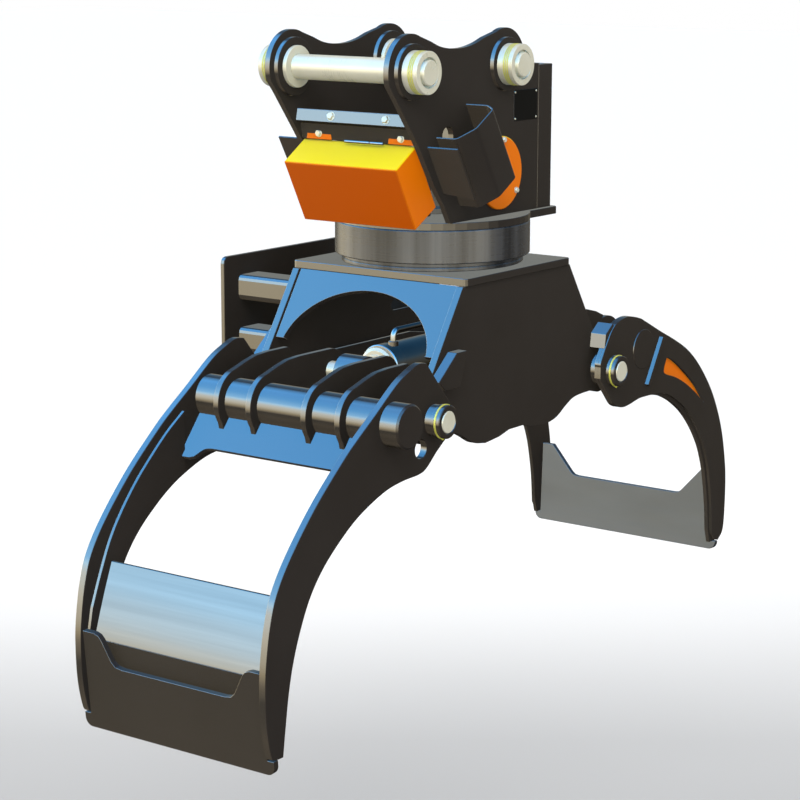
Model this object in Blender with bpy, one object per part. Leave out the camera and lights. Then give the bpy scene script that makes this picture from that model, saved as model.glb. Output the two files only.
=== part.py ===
"""Log grapple for an excavator: hanger head, slewing frame, two claws and one cylinder.

Units are metres and +Z is up. +X runs across the two claws, +Y runs along the pins.
Every dimension below is read from the slew axis and the top face of the frame's top
plate, and world() moves it to the row's origin, the middle of the stick pin.
"""
import math

import bmesh
import bpy
from mathutils import Vector

# clearances
GAP = 0.0003
BEARING_GAP = 0.001
CLAW_GAP = 0.001

# hanger head
STICK_PIN_X = 0.062
LINK_PIN_X = -0.457
HANGER_PIN_Z = 0.652
HANGER_PIN_R = 0.040
HANGER_PIN_HALF = 0.320
EAR_OUT = 0.243
EAR_THICK = 0.0195
EAR_LOBE_R = 0.117
EAR_REAR_X = 0.262
EAR_SHOULDER_Z = 0.645
BUSH_R = 0.067
BUSH_IN = 0.198
BUSH_OUT = 0.3125
OUTER_RING_R = 0.087
INNER_RING_R = 0.093
RING_THICK = 0.014
REAR_BOX_X = 0.345
GUARD_X = 0.035
GUARD_Z = 0.300
GUARD_R = 0.120
REAR_BOX_TOP = 0.640
REAR_WEB = 0.020

# slew bearing
BASE_TOP = 0.161
BASE_THICK = 0.025
BEARING_R = 0.325
RING_WIDTH = 0.070
BEARING_BORE_R = BEARING_R - RING_WIDTH
BEARING_LOW_Z = 0.027
COLLAR_R = BEARING_R - 0.022
INNER_RING_WIDTH = 0.055
BASE_FLANK_Y = 0.26
MANIFOLD_R = 0.070

# slewing frame
TOP_X = 0.305
TOP_THICK = 0.0245
SIDE_THICK = 0.025
SLANT_TOP_X = 0.314
SLANT_LOW_X = 0.475
SLANT_LOW_Z = -0.275
PIVOT_X = 0.516
PIVOT_Z = -0.413
PIVOT_R = 0.035
SIDE_LOBE_R = 0.082
BOSS_R = 0.0565
ARCH_THICK = 0.020
ARCH_RECESS = 0.010

# stand-off plate on the far side
MOUNT_PLATE_IN = 0.560
MOUNT_PLATE_THICK = 0.015

# claws: the left one closes inside the right one
TINE_OUT = 0.404
TINE_THICK = 0.024
LEFT_TINE_OUT = TINE_OUT - TINE_THICK - CLAW_GAP
CLAW_COLLAR_R = 0.053
TUBE_R = 0.070
LEFT_TUBE_X = -0.730
LEFT_TUBE_Z = -0.390
LEFT_TUBE_HALF = TINE_OUT + 0.042
RIGHT_TUBE_X = 0.712
RIGHT_TUBE_Z = -0.367
RIB_RING_R = 0.103
RIB_THICK = 0.020
OUTER_RIB_Y = TINE_OUT - 0.162
INNER_RIB_Y = 0.110
WEB_THICK = 0.016
LEVER_PIN_X = 0.420
LEVER_PIN_Z = -0.325
LEVER_PIN_R = 0.030
BLADE_THICK = 0.020
BLADE_CORNER_R = 0.028

# frame widths that follow the claws
SIDE_OUT = TINE_OUT - 0.060
TOP_Y = SIDE_OUT + 0.009
PIVOT_END = TINE_OUT + 0.0325

# cylinder
BARREL_R = 0.075
BARREL_BORE_R = 0.055
BARREL_LEFT_X = -0.295
BARREL_CAP_X = 0.330
ROD_R = 0.035
EYE_R = 0.060
EYE_HALF = 0.050

AXIS_X = Vector((1, 0, 0))
AXIS_Y = Vector((0, 1, 0))
AXIS_Z = Vector((0, 0, 1))


def world(x, y, z):
    """A point given from the slew axis, in the row's own frame."""
    return Vector((x - STICK_PIN_X, y, z - HANGER_PIN_Z))


def clear_scene():
    for item in list(bpy.data.objects):
        bpy.data.objects.remove(item, do_unlink=True)


def material(name, colour, metallic, roughness):
    made = bpy.data.materials.new(name)
    made.use_nodes = True
    shader = made.node_tree.nodes["Principled BSDF"]
    shader.inputs["Base Color"].default_value = (*colour, 1.0)
    shader.inputs["Metallic"].default_value = metallic
    shader.inputs["Roughness"].default_value = roughness
    made.diffuse_color = (*colour, 1.0)
    return made


def new_object(name, mesh_data, mat, pivot):
    """An object whose origin is at pivot, from a bmesh in world coordinates."""
    bmesh.ops.recalc_face_normals(mesh_data, faces=mesh_data.faces)
    bmesh.ops.translate(mesh_data, verts=mesh_data.verts, vec=-pivot)
    mesh = bpy.data.meshes.new(name)
    mesh_data.to_mesh(mesh)
    mesh_data.free()
    made = bpy.data.objects.new(name, mesh)
    made.location = pivot
    if mat is not None:
        mesh.materials.append(mat)
    bpy.context.scene.collection.objects.link(made)
    return made


def prism(name, outline, origin, along, across, low, high, mat, pivot):
    """A flat plate: an outline in the along/across plane, thick from low to high."""
    normal = along.cross(across)
    shape = bmesh.new()
    ends = []
    for depth in (low, high):
        ring = []
        for u, v in outline:
            ring.append(shape.verts.new(origin + along * u + across * v + normal * depth))
        ends.append(ring)
    count = len(outline)
    shape.faces.new(ends[0])
    shape.faces.new(list(reversed(ends[1])))
    for i in range(count):
        j = (i + 1) % count
        shape.faces.new((ends[0][i], ends[1][i], ends[1][j], ends[0][j]))
    return new_object(name, shape, mat, pivot)


def side_plate_shape(name, outline, y_a, y_b, mat, pivot):
    """A plate lying in an XZ plane, between two Y positions."""
    low, high = sorted((-y_a, -y_b))
    return prism(name, outline, world(0, 0, 0), AXIS_X, AXIS_Z, low, high, mat, pivot)


def lathe(name, profile, origin, axis, mat, pivot, steps=24):
    """A turned part: (radius, height) points, closed, spun about axis."""
    side = AXIS_X if abs(axis.x) < 0.5 else AXIS_Y
    other = axis.cross(side).normalized()
    shape = bmesh.new()
    rings = []
    for radius, height in profile:
        if radius < 1e-6:
            rings.append(None)
            continue
        centre = origin + axis * height
        ring = []
        for k in range(steps):
            turn = 2 * math.pi * k / steps
            ring.append(shape.verts.new(centre + (side * math.cos(turn) + other * math.sin(turn)) * radius))
        rings.append(ring)
    for i in range(len(rings)):
        here = rings[i]
        there = rings[(i + 1) % len(rings)]
        if here is None and there is None:
            continue
        if here is None or there is None:
            # a flat end: the profile reaches the axis
            shape.faces.new(here or there)
            continue
        for k in range(steps):
            m = (k + 1) % steps
            shape.faces.new((here[k], here[m], there[m], there[k]))
    return new_object(name, shape, mat, pivot)


def rod_shape(name, centre, axis, half, radius, mat, pivot, steps=24):
    """A plain round bar, centred on a point."""
    profile = [(0, -half), (radius, -half), (radius, half), (0, half)]
    return lathe(name, profile, centre, axis, mat, pivot, steps)


def pin_shape(name, centre, axis, half, radius, chamfer, mat, pivot, steps=24):
    """A round bar with a turned chamfer at each end."""
    profile = [
        (0, -half),
        (radius - chamfer, -half),
        (radius, chamfer - half),
        (radius, half - chamfer),
        (radius - chamfer, half),
        (0, half),
    ]
    return lathe(name, profile, centre, axis, mat, pivot, steps)


def block(name, low, high, mat, pivot):
    outline = [(low[0], low[1]), (high[0], low[1]), (high[0], high[1]), (low[0], high[1])]
    return prism(name, outline, world(0, 0, 0), AXIS_X, AXIS_Y, low[2], high[2], mat, pivot)


def combine(target, tool, operation):
    tool.hide_render = True
    tool.display_type = "WIRE"
    tool.parent = target
    tool.matrix_parent_inverse = target.matrix_basis.inverted()
    step = target.modifiers.new(operation.lower(), "BOOLEAN")
    step.operation = operation
    step.solver = "EXACT"
    step.object = tool


def cut(target, tool):
    combine(target, tool, "DIFFERENCE")


def weld(target, tool):
    combine(target, tool, "UNION")


def soften(target, width):
    """A small broken edge, as a plate has after grinding."""
    step = target.modifiers.new("broken edge", "BEVEL")
    step.width = width
    step.segments = 1
    step.limit_method = "ANGLE"
    step.angle_limit = math.radians(50)


def drill(target, x, z, radius, y_a, y_b, steps=32):
    """A round hole along Y."""
    middle = world(x, (y_a + y_b) / 2, z)
    tool = rod_shape(target.name + ".drill", middle, AXIS_Y, abs(y_b - y_a) / 2, radius, None, middle, steps)
    cut(target, tool)


def arc(cx, cz, radius, start, end, count):
    points = []
    for k in range(count + 1):
        turn = math.radians(start + (end - start) * k / count)
        points.append((cx + radius * math.cos(turn), cz + radius * math.sin(turn)))
    return points


def flow(knots, steps=3):
    """A smooth line through the knots."""
    line = []
    for i in range(len(knots) - 1):
        p1 = Vector(knots[i])
        p2 = Vector(knots[i + 1])
        p0 = Vector(knots[i - 1]) if i > 0 else p1 * 2 - p2
        p3 = Vector(knots[i + 2]) if i + 2 < len(knots) else p2 * 2 - p1
        for k in range(steps):
            t = k / steps
            spot = 0.5 * (
                p1 * 2
                + (p2 - p0) * t
                + (p0 * 2 - p1 * 5 + p2 * 4 - p3) * t * t
                + (p1 * 3 - p0 - p2 * 3 + p3) * t * t * t
            )
            line.append((spot.x, spot.y))
    line.append(tuple(knots[-1]))
    return line


def mirrored(points):
    """The same outline on the other side of the slew axis."""
    return [(-x, z) for x, z in reversed(points)]


def rounded_box(x0, z0, x1, z1, radius, steps=3):
    return (
        arc(x0 + radius, z0 + radius, radius, 180, 270, steps)
        + arc(x1 - radius, z0 + radius, radius, 270, 360, steps)
        + arc(x1 - radius, z1 - radius, radius, 0, 90, steps)
        + arc(x0 + radius, z1 - radius, radius, 90, 180, steps)
    )


def slot_outline(x0, z0, x1, z1):
    """A slot with round ends, along its longer side."""
    if x1 - x0 > z1 - z0:
        r = (z1 - z0) / 2
        return arc(x0 + r, z0 + r, r, 90, 270, 6) + arc(x1 - r, z0 + r, r, -90, 90, 6)
    r = (x1 - x0) / 2
    return arc(x0 + r, z1 - r, r, 0, 180, 6) + arc(x0 + r, z0 + r, r, 180, 360, 6)


def build_head(paint, zinc, orange, machined, casting):
    """The hanger ears, their pins, the covers and the slew drive."""
    home = world(0, 0, 0)
    parts = []

    outline = [(-0.240, BASE_TOP + GAP), (EAR_REAR_X, BASE_TOP + GAP)]
    outline += [(EAR_REAR_X, EAR_SHOULDER_Z)]
    outline += [(STICK_PIN_X + EAR_LOBE_R + 0.012, EAR_SHOULDER_Z + 0.002)]
    outline += arc(STICK_PIN_X, HANGER_PIN_Z, EAR_LOBE_R, 12, 116, 9)
    outline += flow([(-0.055, 0.742), (-0.110, 0.725), (-0.175, 0.7145), (-0.240, 0.7145), (-0.300, 0.723), (-0.352, 0.741)], 2)
    outline += arc(LINK_PIN_X, HANGER_PIN_Z, EAR_LOBE_R, 66, 200, 11)
    outline += flow([(-0.533, 0.572), (-0.472, 0.494), (-0.415, 0.420), (-0.368, 0.348), (-0.327, 0.285), (-0.276, 0.222)], 2)
    for tag, side in (("near", -1), ("far", 1)):
        inner = side * (EAR_OUT - EAR_THICK)
        outer = side * EAR_OUT
        ear = side_plate_shape("ear_" + tag, outline, inner, outer, paint, home)
        for pin_x in (STICK_PIN_X, LINK_PIN_X):
            for radius, start, stop in (
                (OUTER_RING_R, EAR_OUT - 0.004, EAR_OUT + RING_THICK),
                (INNER_RING_R, EAR_OUT - EAR_THICK + 0.004, EAR_OUT - EAR_THICK - RING_THICK),
            ):
                middle = world(pin_x, side * (start + stop) / 2, HANGER_PIN_Z)
                ring = rod_shape("ring", middle, AXIS_Y, abs(stop - start) / 2, radius, None, middle)
                weld(ear, ring)
        for pin_x in (STICK_PIN_X, LINK_PIN_X):
            drill(ear, pin_x, HANGER_PIN_Z, BUSH_R + GAP, inner - side * 0.03, outer + side * 0.03, 24)
        hose_slot = slot_outline(-0.288, 0.362, -0.229, 0.471)
        cut(ear, side_plate_shape("ear hose slot", hose_slot, inner - side * 0.03, outer + side * 0.03, None, home))
        parts.append(ear)

        for label, pin_x in (("stick", STICK_PIN_X), ("link", LINK_PIN_X)):
            spot = world(pin_x, 0, HANGER_PIN_Z)
            bore = HANGER_PIN_R + GAP
            groove = BUSH_R - 0.0025
            profile = [
                (bore, BUSH_IN),
                (BUSH_R, BUSH_IN),
                (BUSH_R, 0.280),
                (groove, 0.280),
                (groove, 0.289),
                (BUSH_R, 0.289),
                (BUSH_R, BUSH_OUT - 0.004),
                (BUSH_R - 0.004, BUSH_OUT),
                (bore, BUSH_OUT),
            ]
            name = label + "_bush_" + tag
            parts.append(lathe(name, profile, spot, AXIS_Y * side, zinc, spot))

    for label, pin_x in (("stick", STICK_PIN_X), ("link", LINK_PIN_X)):
        spot = world(pin_x, 0, HANGER_PIN_Z)
        parts.append(pin_shape(label + "_pin", spot, AXIS_Y, HANGER_PIN_HALF, HANGER_PIN_R, 0.003, zinc, spot))

    flank = BASE_FLANK_Y
    spread = math.degrees(math.asin(flank / BEARING_R))
    outline = [(0.195, -flank), (0.355, -flank), (0.367, 0.012 - flank)]
    outline += [(0.367, flank - 0.012), (0.355, flank), (0.195, flank)]
    outline += arc(0, 0, BEARING_R, spread + 2, 358 - spread, 36)
    low = BASE_TOP - BASE_THICK
    base = prism("head_base_plate", outline, world(0, 0, 0), AXIS_X, AXIS_Y, low, BASE_TOP, paint, home)
    soften(base, 0.0012)
    spot = world(0, 0, (low + BASE_TOP) / 2)
    cut(base, rod_shape("manifold hole", spot, AXIS_Z, 0.05, MANIFOLD_R + 0.004, None, spot))
    parts.append(base)

    x0 = EAR_REAR_X + GAP
    inside = REAR_BOX_X - REAR_WEB
    wall = EAR_OUT - EAR_THICK
    outline = [(x0, -EAR_OUT), (REAR_BOX_X, -EAR_OUT), (REAR_BOX_X, EAR_OUT), (x0, EAR_OUT)]
    outline += [(x0, wall), (inside, wall), (inside, -wall), (x0, -wall)]
    rear = prism("rear_channel", outline, world(0, 0, 0), AXIS_X, AXIS_Y, BASE_TOP + GAP, REAR_BOX_TOP, paint, home)
    soften(rear, 0.0015)
    parts.append(rear)

    half = wall - GAP
    outline = [(-0.402, 0.4205), (-0.4105, 0.4205), (-0.4205, 0.470), (-0.444, 0.480), (-0.436, 0.517)]
    outline += [(-0.426, 0.517), (-0.431, 0.488), (-0.412, 0.480)]
    bracket = side_plate_shape("front_bracket", outline, -half, half, paint, home)
    soften(bracket, 0.001)
    parts.append(bracket)

    outline = [(-0.400, 0.4195), (-0.507, 0.352), (-0.402, 0.155), (-0.291, 0.217)]
    cover = side_plate_shape("front_cover", outline, -half, half, orange, home)
    soften(cover, 0.003)
    hollow = [(-0.330, 0.4195 + 0.03), (-0.396, 0.4175), (-0.5015, 0.351), (-0.4005, 0.161), (-0.293, 0.221), (-0.24, 0.24)]
    cut(cover, side_plate_shape("cover hollow", hollow, 0.004 - half, half - 0.004, None, home))
    parts.append(cover)

    slide = Vector((0.505, 0, -0.863)).normalized()
    back = Vector((-slide.z, 0, slide.x)) * -1
    for tag, side in (("near", -1), ("far", 1)):
        corner = world(-0.174, 0, 0.527)
        skin = 0.005
        ear_y = EAR_OUT + GAP
        path = [(-0.020, ear_y), (-0.020, 0.327), (0, 0.360), (0.108, 0.360), (0.172, 0.321), (0.172, ear_y)]
        inner = [(0.172 - skin, ear_y), (0.172 - skin, 0.318), (0.106, 0.355), (0.003, 0.355), (-0.015, 0.3255), (-0.015, ear_y)]
        ring = [(e, side * y) for e, y in path + inner]
        shape = bmesh.new()
        ends = []
        for reach in (0.0, 0.262):
            ends.append([shape.verts.new(corner + back * e + AXIS_Y * y + slide * reach) for e, y in ring])
        count = len(ring)
        shape.faces.new(ends[0])
        shape.faces.new(list(reversed(ends[1])))
        for i in range(count):
            j = (i + 1) % count
            shape.faces.new((ends[0][i], ends[1][i], ends[1][j], ends[0][j]))
        hood = new_object("hood_" + tag, shape, paint, home)
        parts.append(hood)

        spot = world(GUARD_X, side * (EAR_OUT + 0.004), GUARD_Z)
        cut(hood, rod_shape("guard relief", spot, AXIS_Y, 0.010, GUARD_R + 0.004, None, spot, 32))
        spot = world(GUARD_X, side * (EAR_OUT + GAP), GUARD_Z)
        profile = [(0, 0), (GUARD_R, 0), (GUARD_R, 0.006), (GUARD_R - 0.002, 0.008), (0, 0.008)]
        parts.append(lathe("guard_disc_" + tag, profile, spot, AXIS_Y * side, orange, spot))

        spot = world(0.135, side * 0.125, 0)
        profile = [
            (0, BASE_TOP + GAP),
            (0.075, BASE_TOP + GAP),
            (0.075, BASE_TOP + 0.020),
            (0.056, BASE_TOP + 0.026),
            (0.056, 0.330),
            (0.050, 0.338),
            (0.050, 0.392),
            (0.044, 0.398),
            (0, 0.398),
        ]
        parts.append(lathe("slew_motor_" + tag, profile, spot, AXIS_Z, casting, spot, 16))

        bracket_ring = []
        for reach, y in ((0.0, ear_y), (0.0, 0.357), (0.190, 0.357), (0.176, ear_y)):
            bracket_ring.append((reach, side * y))
        corner = world(-0.174, 0, 0.527) + back * 0.226
        plate = prism("hose_guard_" + tag, bracket_ring, corner, slide, AXIS_Y, 0.0, 0.006, paint, home)
        parts.append(plate)

    manifold_low = -0.060
    profile = [
        (0, manifold_low),
        (MANIFOLD_R - 0.004, manifold_low),
        (MANIFOLD_R, manifold_low + 0.004),
        (MANIFOLD_R, BASE_TOP + GAP),
        (0.098, BASE_TOP + GAP),
        (0.098, BASE_TOP + 0.018),
        (0.062, BASE_TOP + 0.022),
        (0.062, 0.290),
        (0, 0.290),
    ]
    spot = world(0, 0, 0)
    parts.append(lathe("rotary_manifold", profile, spot, AXIS_Z, machined, spot, 20))

    valve_x = -BEARING_R + 0.080
    valve = block("valve_block", (valve_x, -0.085, BASE_TOP + GAP), (valve_x + 0.120, 0.085, 0.330), casting, home)
    soften(valve, 0.004)
    parts.append(valve)

    spot = world(0, 0, 0)
    low_z = BEARING_LOW_Z
    top_z = BASE_TOP - BASE_THICK - GAP
    bore = BEARING_BORE_R
    profile = [
        (bore, low_z + GAP),
        (BEARING_R - 0.003, low_z + GAP),
        (BEARING_R, low_z + 0.003),
        (BEARING_R, top_z - 0.0015),
        (BEARING_R - 0.002, top_z),
        (bore, top_z),
    ]
    parts.append(lathe("slew_outer_ring", profile, spot, AXIS_Z, machined, spot, 48))
    return parts


def build_frame(paint, machined, zinc):
    """The slewing frame below the bearing."""
    home = world(0, 0, 0)
    parts = []

    bore = BEARING_BORE_R - INNER_RING_WIDTH
    profile = [
        (bore, GAP),
        (COLLAR_R - 0.002, GAP),
        (COLLAR_R, 0.002),
        (COLLAR_R, BEARING_LOW_Z),
        (BEARING_BORE_R - BEARING_GAP, BEARING_LOW_Z),
        (BEARING_BORE_R - BEARING_GAP, 0.120),
        (bore, 0.120),
    ]
    parts.append(lathe("slew_inner_ring", profile, home, AXIS_Z, machined, home, 48))

    outline = rounded_box(-TOP_X, -TOP_Y, TOP_X, TOP_Y, 0.016)
    top = prism("frame_top_plate", outline, world(0, 0, 0), AXIS_X, AXIS_Y, -TOP_THICK, 0.0, paint, home)
    soften(top, 0.0015)
    spot = world(0, 0, -TOP_THICK / 2)
    cut(top, rod_shape("manifold hole", spot, AXIS_Z, 0.05, 0.100, None, spot))
    parts.append(top)

    half_line = [(SLANT_TOP_X, -TOP_THICK - GAP), (SLANT_LOW_X, SLANT_LOW_Z)]
    half_line += flow([(0.500, -0.318), (0.540, -0.335)], 2)
    half_line += arc(PIVOT_X, PIVOT_Z, SIDE_LOBE_R, 52, -96, 9)
    half_line += flow([(0.460, -0.483), (0.400, -0.484), (0.350, -0.490), (0.305, -0.509), (0.245, -0.540), (0.178, -0.553)], 2)
    half_line += flow([(0.100, -0.546), (0.040, -0.532)], 2)
    outline = half_line + mirrored(half_line)
    for tag, side in (("near", -1), ("far", 1)):
        inner = side * (SIDE_OUT - SIDE_THICK)
        outer = side * SIDE_OUT
        plate = side_plate_shape("side_plate_" + tag, outline, inner, outer, paint, home)
        doubler = [(0.300, -0.322), (0.440, -0.345)] + arc(PIVOT_X, PIVOT_Z, 0.070, 45, -100, 8)
        doubler += [(0.400, -0.468), (0.250, -0.500)]
        doubler = doubler + mirrored(doubler)
        backing = side_plate_shape("doubler", doubler, inner + side * 0.004, inner - side * 0.012, None, home)
        weld(plate, backing)
        left_stop = [(-0.394, -0.220), (-0.490, -0.299), (-0.453, -0.332), (-0.373, -0.332), (-0.338, -0.220)]
        right_stop = [(0.502, -0.247), (0.458, -0.279), (0.451, -0.329), (0.483, -0.283), (0.512, -0.256)]
        for stop, face in ((left_stop, LEFT_TINE_OUT), (right_stop, TINE_OUT)):
            weld(plate, side_plate_shape("stop", stop, outer - side * 0.004, side * face, None, home))
        for end, face in ((-1, LEFT_TINE_OUT), (1, TINE_OUT)):
            start = SIDE_OUT - 0.004
            stop_y = face - TINE_THICK - GAP
            middle = world(end * PIVOT_X, side * (start + stop_y) / 2, PIVOT_Z)
            weld(plate, rod_shape("boss", middle, AXIS_Y, (stop_y - start) / 2, BOSS_R, None, middle))
        for end in (-1, 1):
            drill(plate, end * PIVOT_X, PIVOT_Z, PIVOT_R + GAP, inner - side * 0.03, side * TINE_OUT)
        if side > 0:
            opening = slot_outline(0.200, -0.235, 0.320, -0.198)
            cut(plate, side_plate_shape("hose slot", opening, inner - 0.03, outer + 0.03, None, home))
        parts.append(plate)

    run = Vector((SLANT_LOW_X - SLANT_TOP_X, 0, SLANT_LOW_Z + TOP_THICK + GAP)).normalized()
    for tag, end in (("left", -1), ("right", 1)):
        down = Vector((end * run.x, 0, run.z))
        outward = Vector((end * -run.z, 0, run.x))
        start = world(end * SLANT_TOP_X, 0, -TOP_THICK - GAP)
        head_s = -ARCH_RECESS * outward.z / down.z + 0.0003
        half = SIDE_OUT - SIDE_THICK - GAP
        arch = half - 0.0287
        foot = arch - 0.009
        outline = [(-half, head_s), (half, head_s), (half, 0.245), (foot, 0.245)]
        for k in range(1, 20):
            turn = math.pi * k / 20
            outline.append((arch * math.cos(turn), 0.271 - 0.225 * math.sin(turn)))
        outline += [(-foot, 0.245), (-half, 0.245)]
        outline = [p for p in outline if p[1] <= 0.2451]
        shape = bmesh.new()
        ends = []
        for depth in (-ARCH_RECESS, -ARCH_RECESS - ARCH_THICK):
            ends.append([shape.verts.new(start + AXIS_Y * y + down * s + outward * depth) for y, s in outline])
        count = len(outline)
        shape.faces.new(ends[0])
        shape.faces.new(list(reversed(ends[1])))
        for i in range(count):
            j = (i + 1) % count
            shape.faces.new((ends[0][i], ends[1][i], ends[1][j], ends[0][j]))
        parts.append(new_object("arch_plate_" + tag, shape, paint, home))

    plate_y = MOUNT_PLATE_IN
    outline = rounded_box(-0.415, -0.360, 0.300, 0.003, 0.022)
    mount = side_plate_shape("standoff_plate", outline, plate_y, plate_y + MOUNT_PLATE_THICK, paint, home)
    soften(mount, 0.0015)
    low_y = SIDE_OUT + GAP
    for z0, z1 in ((-0.150, -0.065), (-0.330, -0.245)):
        foot = rounded_box(0.120, z0, 0.240, z1, 0.018)
        weld(mount, side_plate_shape("foot", foot, low_y, plate_y + 0.004, None, home))
    parts.append(mount)
    for tag, z0, z1 in (("upper", -0.150, -0.065), ("lower", -0.330, -0.245)):
        outline = rounded_box(-0.340, z0, -0.220, z1, 0.018)
        tube = side_plate_shape("standoff_tube_" + tag, outline, low_y, plate_y - GAP, paint, home)
        parts.append(tube)

    for tag, end in (("left", -1), ("right", 1)):
        spot = world(end * PIVOT_X, 0, PIVOT_Z)
        parts.append(pin_shape("pivot_shaft_" + tag, spot, AXIS_Y, PIVOT_END, PIVOT_R, 0.002, zinc, spot, 32))
    return parts


LEFT_OUTER = [
    (-0.557, -0.227),
    (-0.598, -0.224),
    (-0.654, -0.243),
    (-0.715, -0.273),
    (-0.817, -0.345),
    (-0.905, -0.405),
    (-0.975, -0.457),
    (-1.110, -0.574),
    (-1.227, -0.700),
    (-1.292, -0.794),
    (-1.322, -0.877),
    (-1.340, -0.970),
    (-1.348, -1.060),
    (-1.343, -1.185),
    (-1.322, -1.281),
    (-1.302, -1.297),
    (-1.267, -1.297),
]
LEFT_GRIP = [
    (-1.258, -1.231),
    (-1.239, -1.111),
    (-1.215, -1.015),
    (-1.178, -0.920),
    (-1.134, -0.838),
    (-1.075, -0.768),
    (-1.002, -0.708),
    (-0.926, -0.658),
    (-0.850, -0.622),
    (-0.759, -0.591),
    (-0.674, -0.578),
    (-0.596, -0.574),
    (-0.554, -0.561),
    (-0.501, -0.519),
]
RIGHT_OUTER = [
    (0.427, -0.393),
    (0.432, -0.366),
    (0.489, -0.283),
    (0.532, -0.250),
    (0.601, -0.237),
    (0.680, -0.252),
    (0.728, -0.272),
    (0.826, -0.318),
    (0.942, -0.370),
    (1.027, -0.415),
    (1.097, -0.467),
    (1.160, -0.529),
    (1.216, -0.597),
    (1.265, -0.677),
    (1.306, -0.770),
    (1.334, -0.877),
    (1.345, -0.957),
    (1.345, -1.057),
    (1.335, -1.151),
    (1.299, -1.187),
    (1.251, -1.187),
]
RIGHT_GRIP = [
    (1.235, -1.137),
    (1.225, -1.038),
    (1.205, -0.937),
    (1.185, -0.869),
    (1.150, -0.795),
    (1.094, -0.720),
    (1.022, -0.651),
    (0.945, -0.600),
    (0.887, -0.572),
    (0.837, -0.555),
    (0.756, -0.541),
    (0.692, -0.541),
    (0.630, -0.551),
    (0.580, -0.554),
    (0.529, -0.539),
    (0.490, -0.501),
    (0.427, -0.430),
]
WINDOW = [
    (0.880, -0.422),
    (0.861, -0.461),
    (0.872, -0.481),
    (0.949, -0.506),
    (1.025, -0.542),
    (1.099, -0.588),
    (1.158, -0.631),
    (1.114, -0.581),
    (1.067, -0.538),
    (0.980, -0.475),
    (0.919, -0.438),
]


def web_direction(end):
    return Vector((end * 0.633, 0, -0.774)).normalized()


def build_rib(name, end, tube_x, tube_z, y, lever, paint, pivot):
    """One rib of a claw: it holds the tube and turns on the pivot shaft."""
    if end < 0:
        crest = [(0.690, -0.271), (0.640, -0.259), (0.580, -0.255), (0.480, -0.255)]
        ring_start = 100
    else:
        crest = [(0.690, -0.258), (0.640, -0.238), (0.580, -0.223), (0.500, -0.223)]
        ring_start = 72
    x = abs(tube_x)
    direction = web_direction(1)
    tip = (x + direction.x * 0.118, tube_z + direction.z * 0.118)
    outline = []
    if lever:
        # the lever's inner end is turned about its pin and runs down to the shaft
        outline += arc(LEVER_PIN_X, LEVER_PIN_Z, 0.070, 225, 85, 10)
    else:
        outline += [(0.455, -0.360), (0.450, -0.300), (0.470, -0.262)]
    body = list(reversed(crest))
    body += arc(x, tube_z, RIB_RING_R, 180 - ring_start, -36, 12)
    body += [tip]
    body += arc(x, tube_z, RIB_RING_R, -72, -100, 3)
    body += flow([(0.640, -0.492), (0.585, -0.487)], 2)
    body += arc(PIVOT_X, PIVOT_Z, 0.072, -80, -150, 5)
    outline = outline + body
    if end < 0:
        outline = [(-a, b) for a, b in outline]
    half = RIB_THICK / 2
    rib = side_plate_shape(name, outline, y - half, y + half, paint, pivot)
    drill(rib, tube_x, tube_z, TUBE_R + GAP, y - 0.03, y + 0.03, 24)
    drill(rib, end * PIVOT_X, PIVOT_Z, PIVOT_R + GAP, y - 0.03, y + 0.03)
    if lever:
        drill(rib, end * LEVER_PIN_X, LEVER_PIN_Z, LEVER_PIN_R + GAP, y - 0.03, y + 0.03)
    direction = web_direction(end)
    across = direction.cross(AXIS_Y)
    centre = world(tube_x, y, tube_z)
    shape = bmesh.new()
    reach = WEB_THICK / 2 + GAP
    ends = []
    for depth in (-0.02, 0.02):
        corners = []
        for s, t in ((0.03, -reach), (0.16, -reach), (0.16, reach), (0.03, reach)):
            corners.append(shape.verts.new(centre + direction * s + across * t + AXIS_Y * depth))
        ends.append(corners)
    shape.faces.new(ends[0])
    shape.faces.new(list(reversed(ends[1])))
    for i in range(4):
        j = (i + 1) % 4
        shape.faces.new((ends[0][i], ends[1][i], ends[1][j], ends[0][j]))
    cut(rib, new_object("web slot", shape, None, centre))
    return rib


def build_web(name, end, tube_x, tube_z, wide, paint, pivot):
    """The cross plate below the tube, with a stepped lower edge."""
    direction = web_direction(end)
    across = direction.cross(AXIS_Y)
    centre = world(tube_x, 0, tube_z)
    top = TUBE_R + 2 * GAP
    half_line = [(wide, top), (wide, 0.228), (wide - 0.038, 0.228)]
    half_line += flow([(wide - 0.056, 0.222), (wide - 0.084, 0.192), (wide - 0.112, 0.185)], 3)
    outline = half_line + [(-y, s) for y, s in reversed(half_line)]
    shape = bmesh.new()
    ends = []
    for depth in (-WEB_THICK / 2, WEB_THICK / 2):
        ends.append([shape.verts.new(centre + AXIS_Y * y + direction * s + across * depth) for y, s in outline])
    count = len(outline)
    shape.faces.new(ends[0])
    shape.faces.new(list(reversed(ends[1])))
    for i in range(count):
        j = (i + 1) % count
        shape.faces.new((ends[0][i], ends[1][i], ends[1][j], ends[0][j]))
    return new_object(name, shape, paint, pivot)


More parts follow.
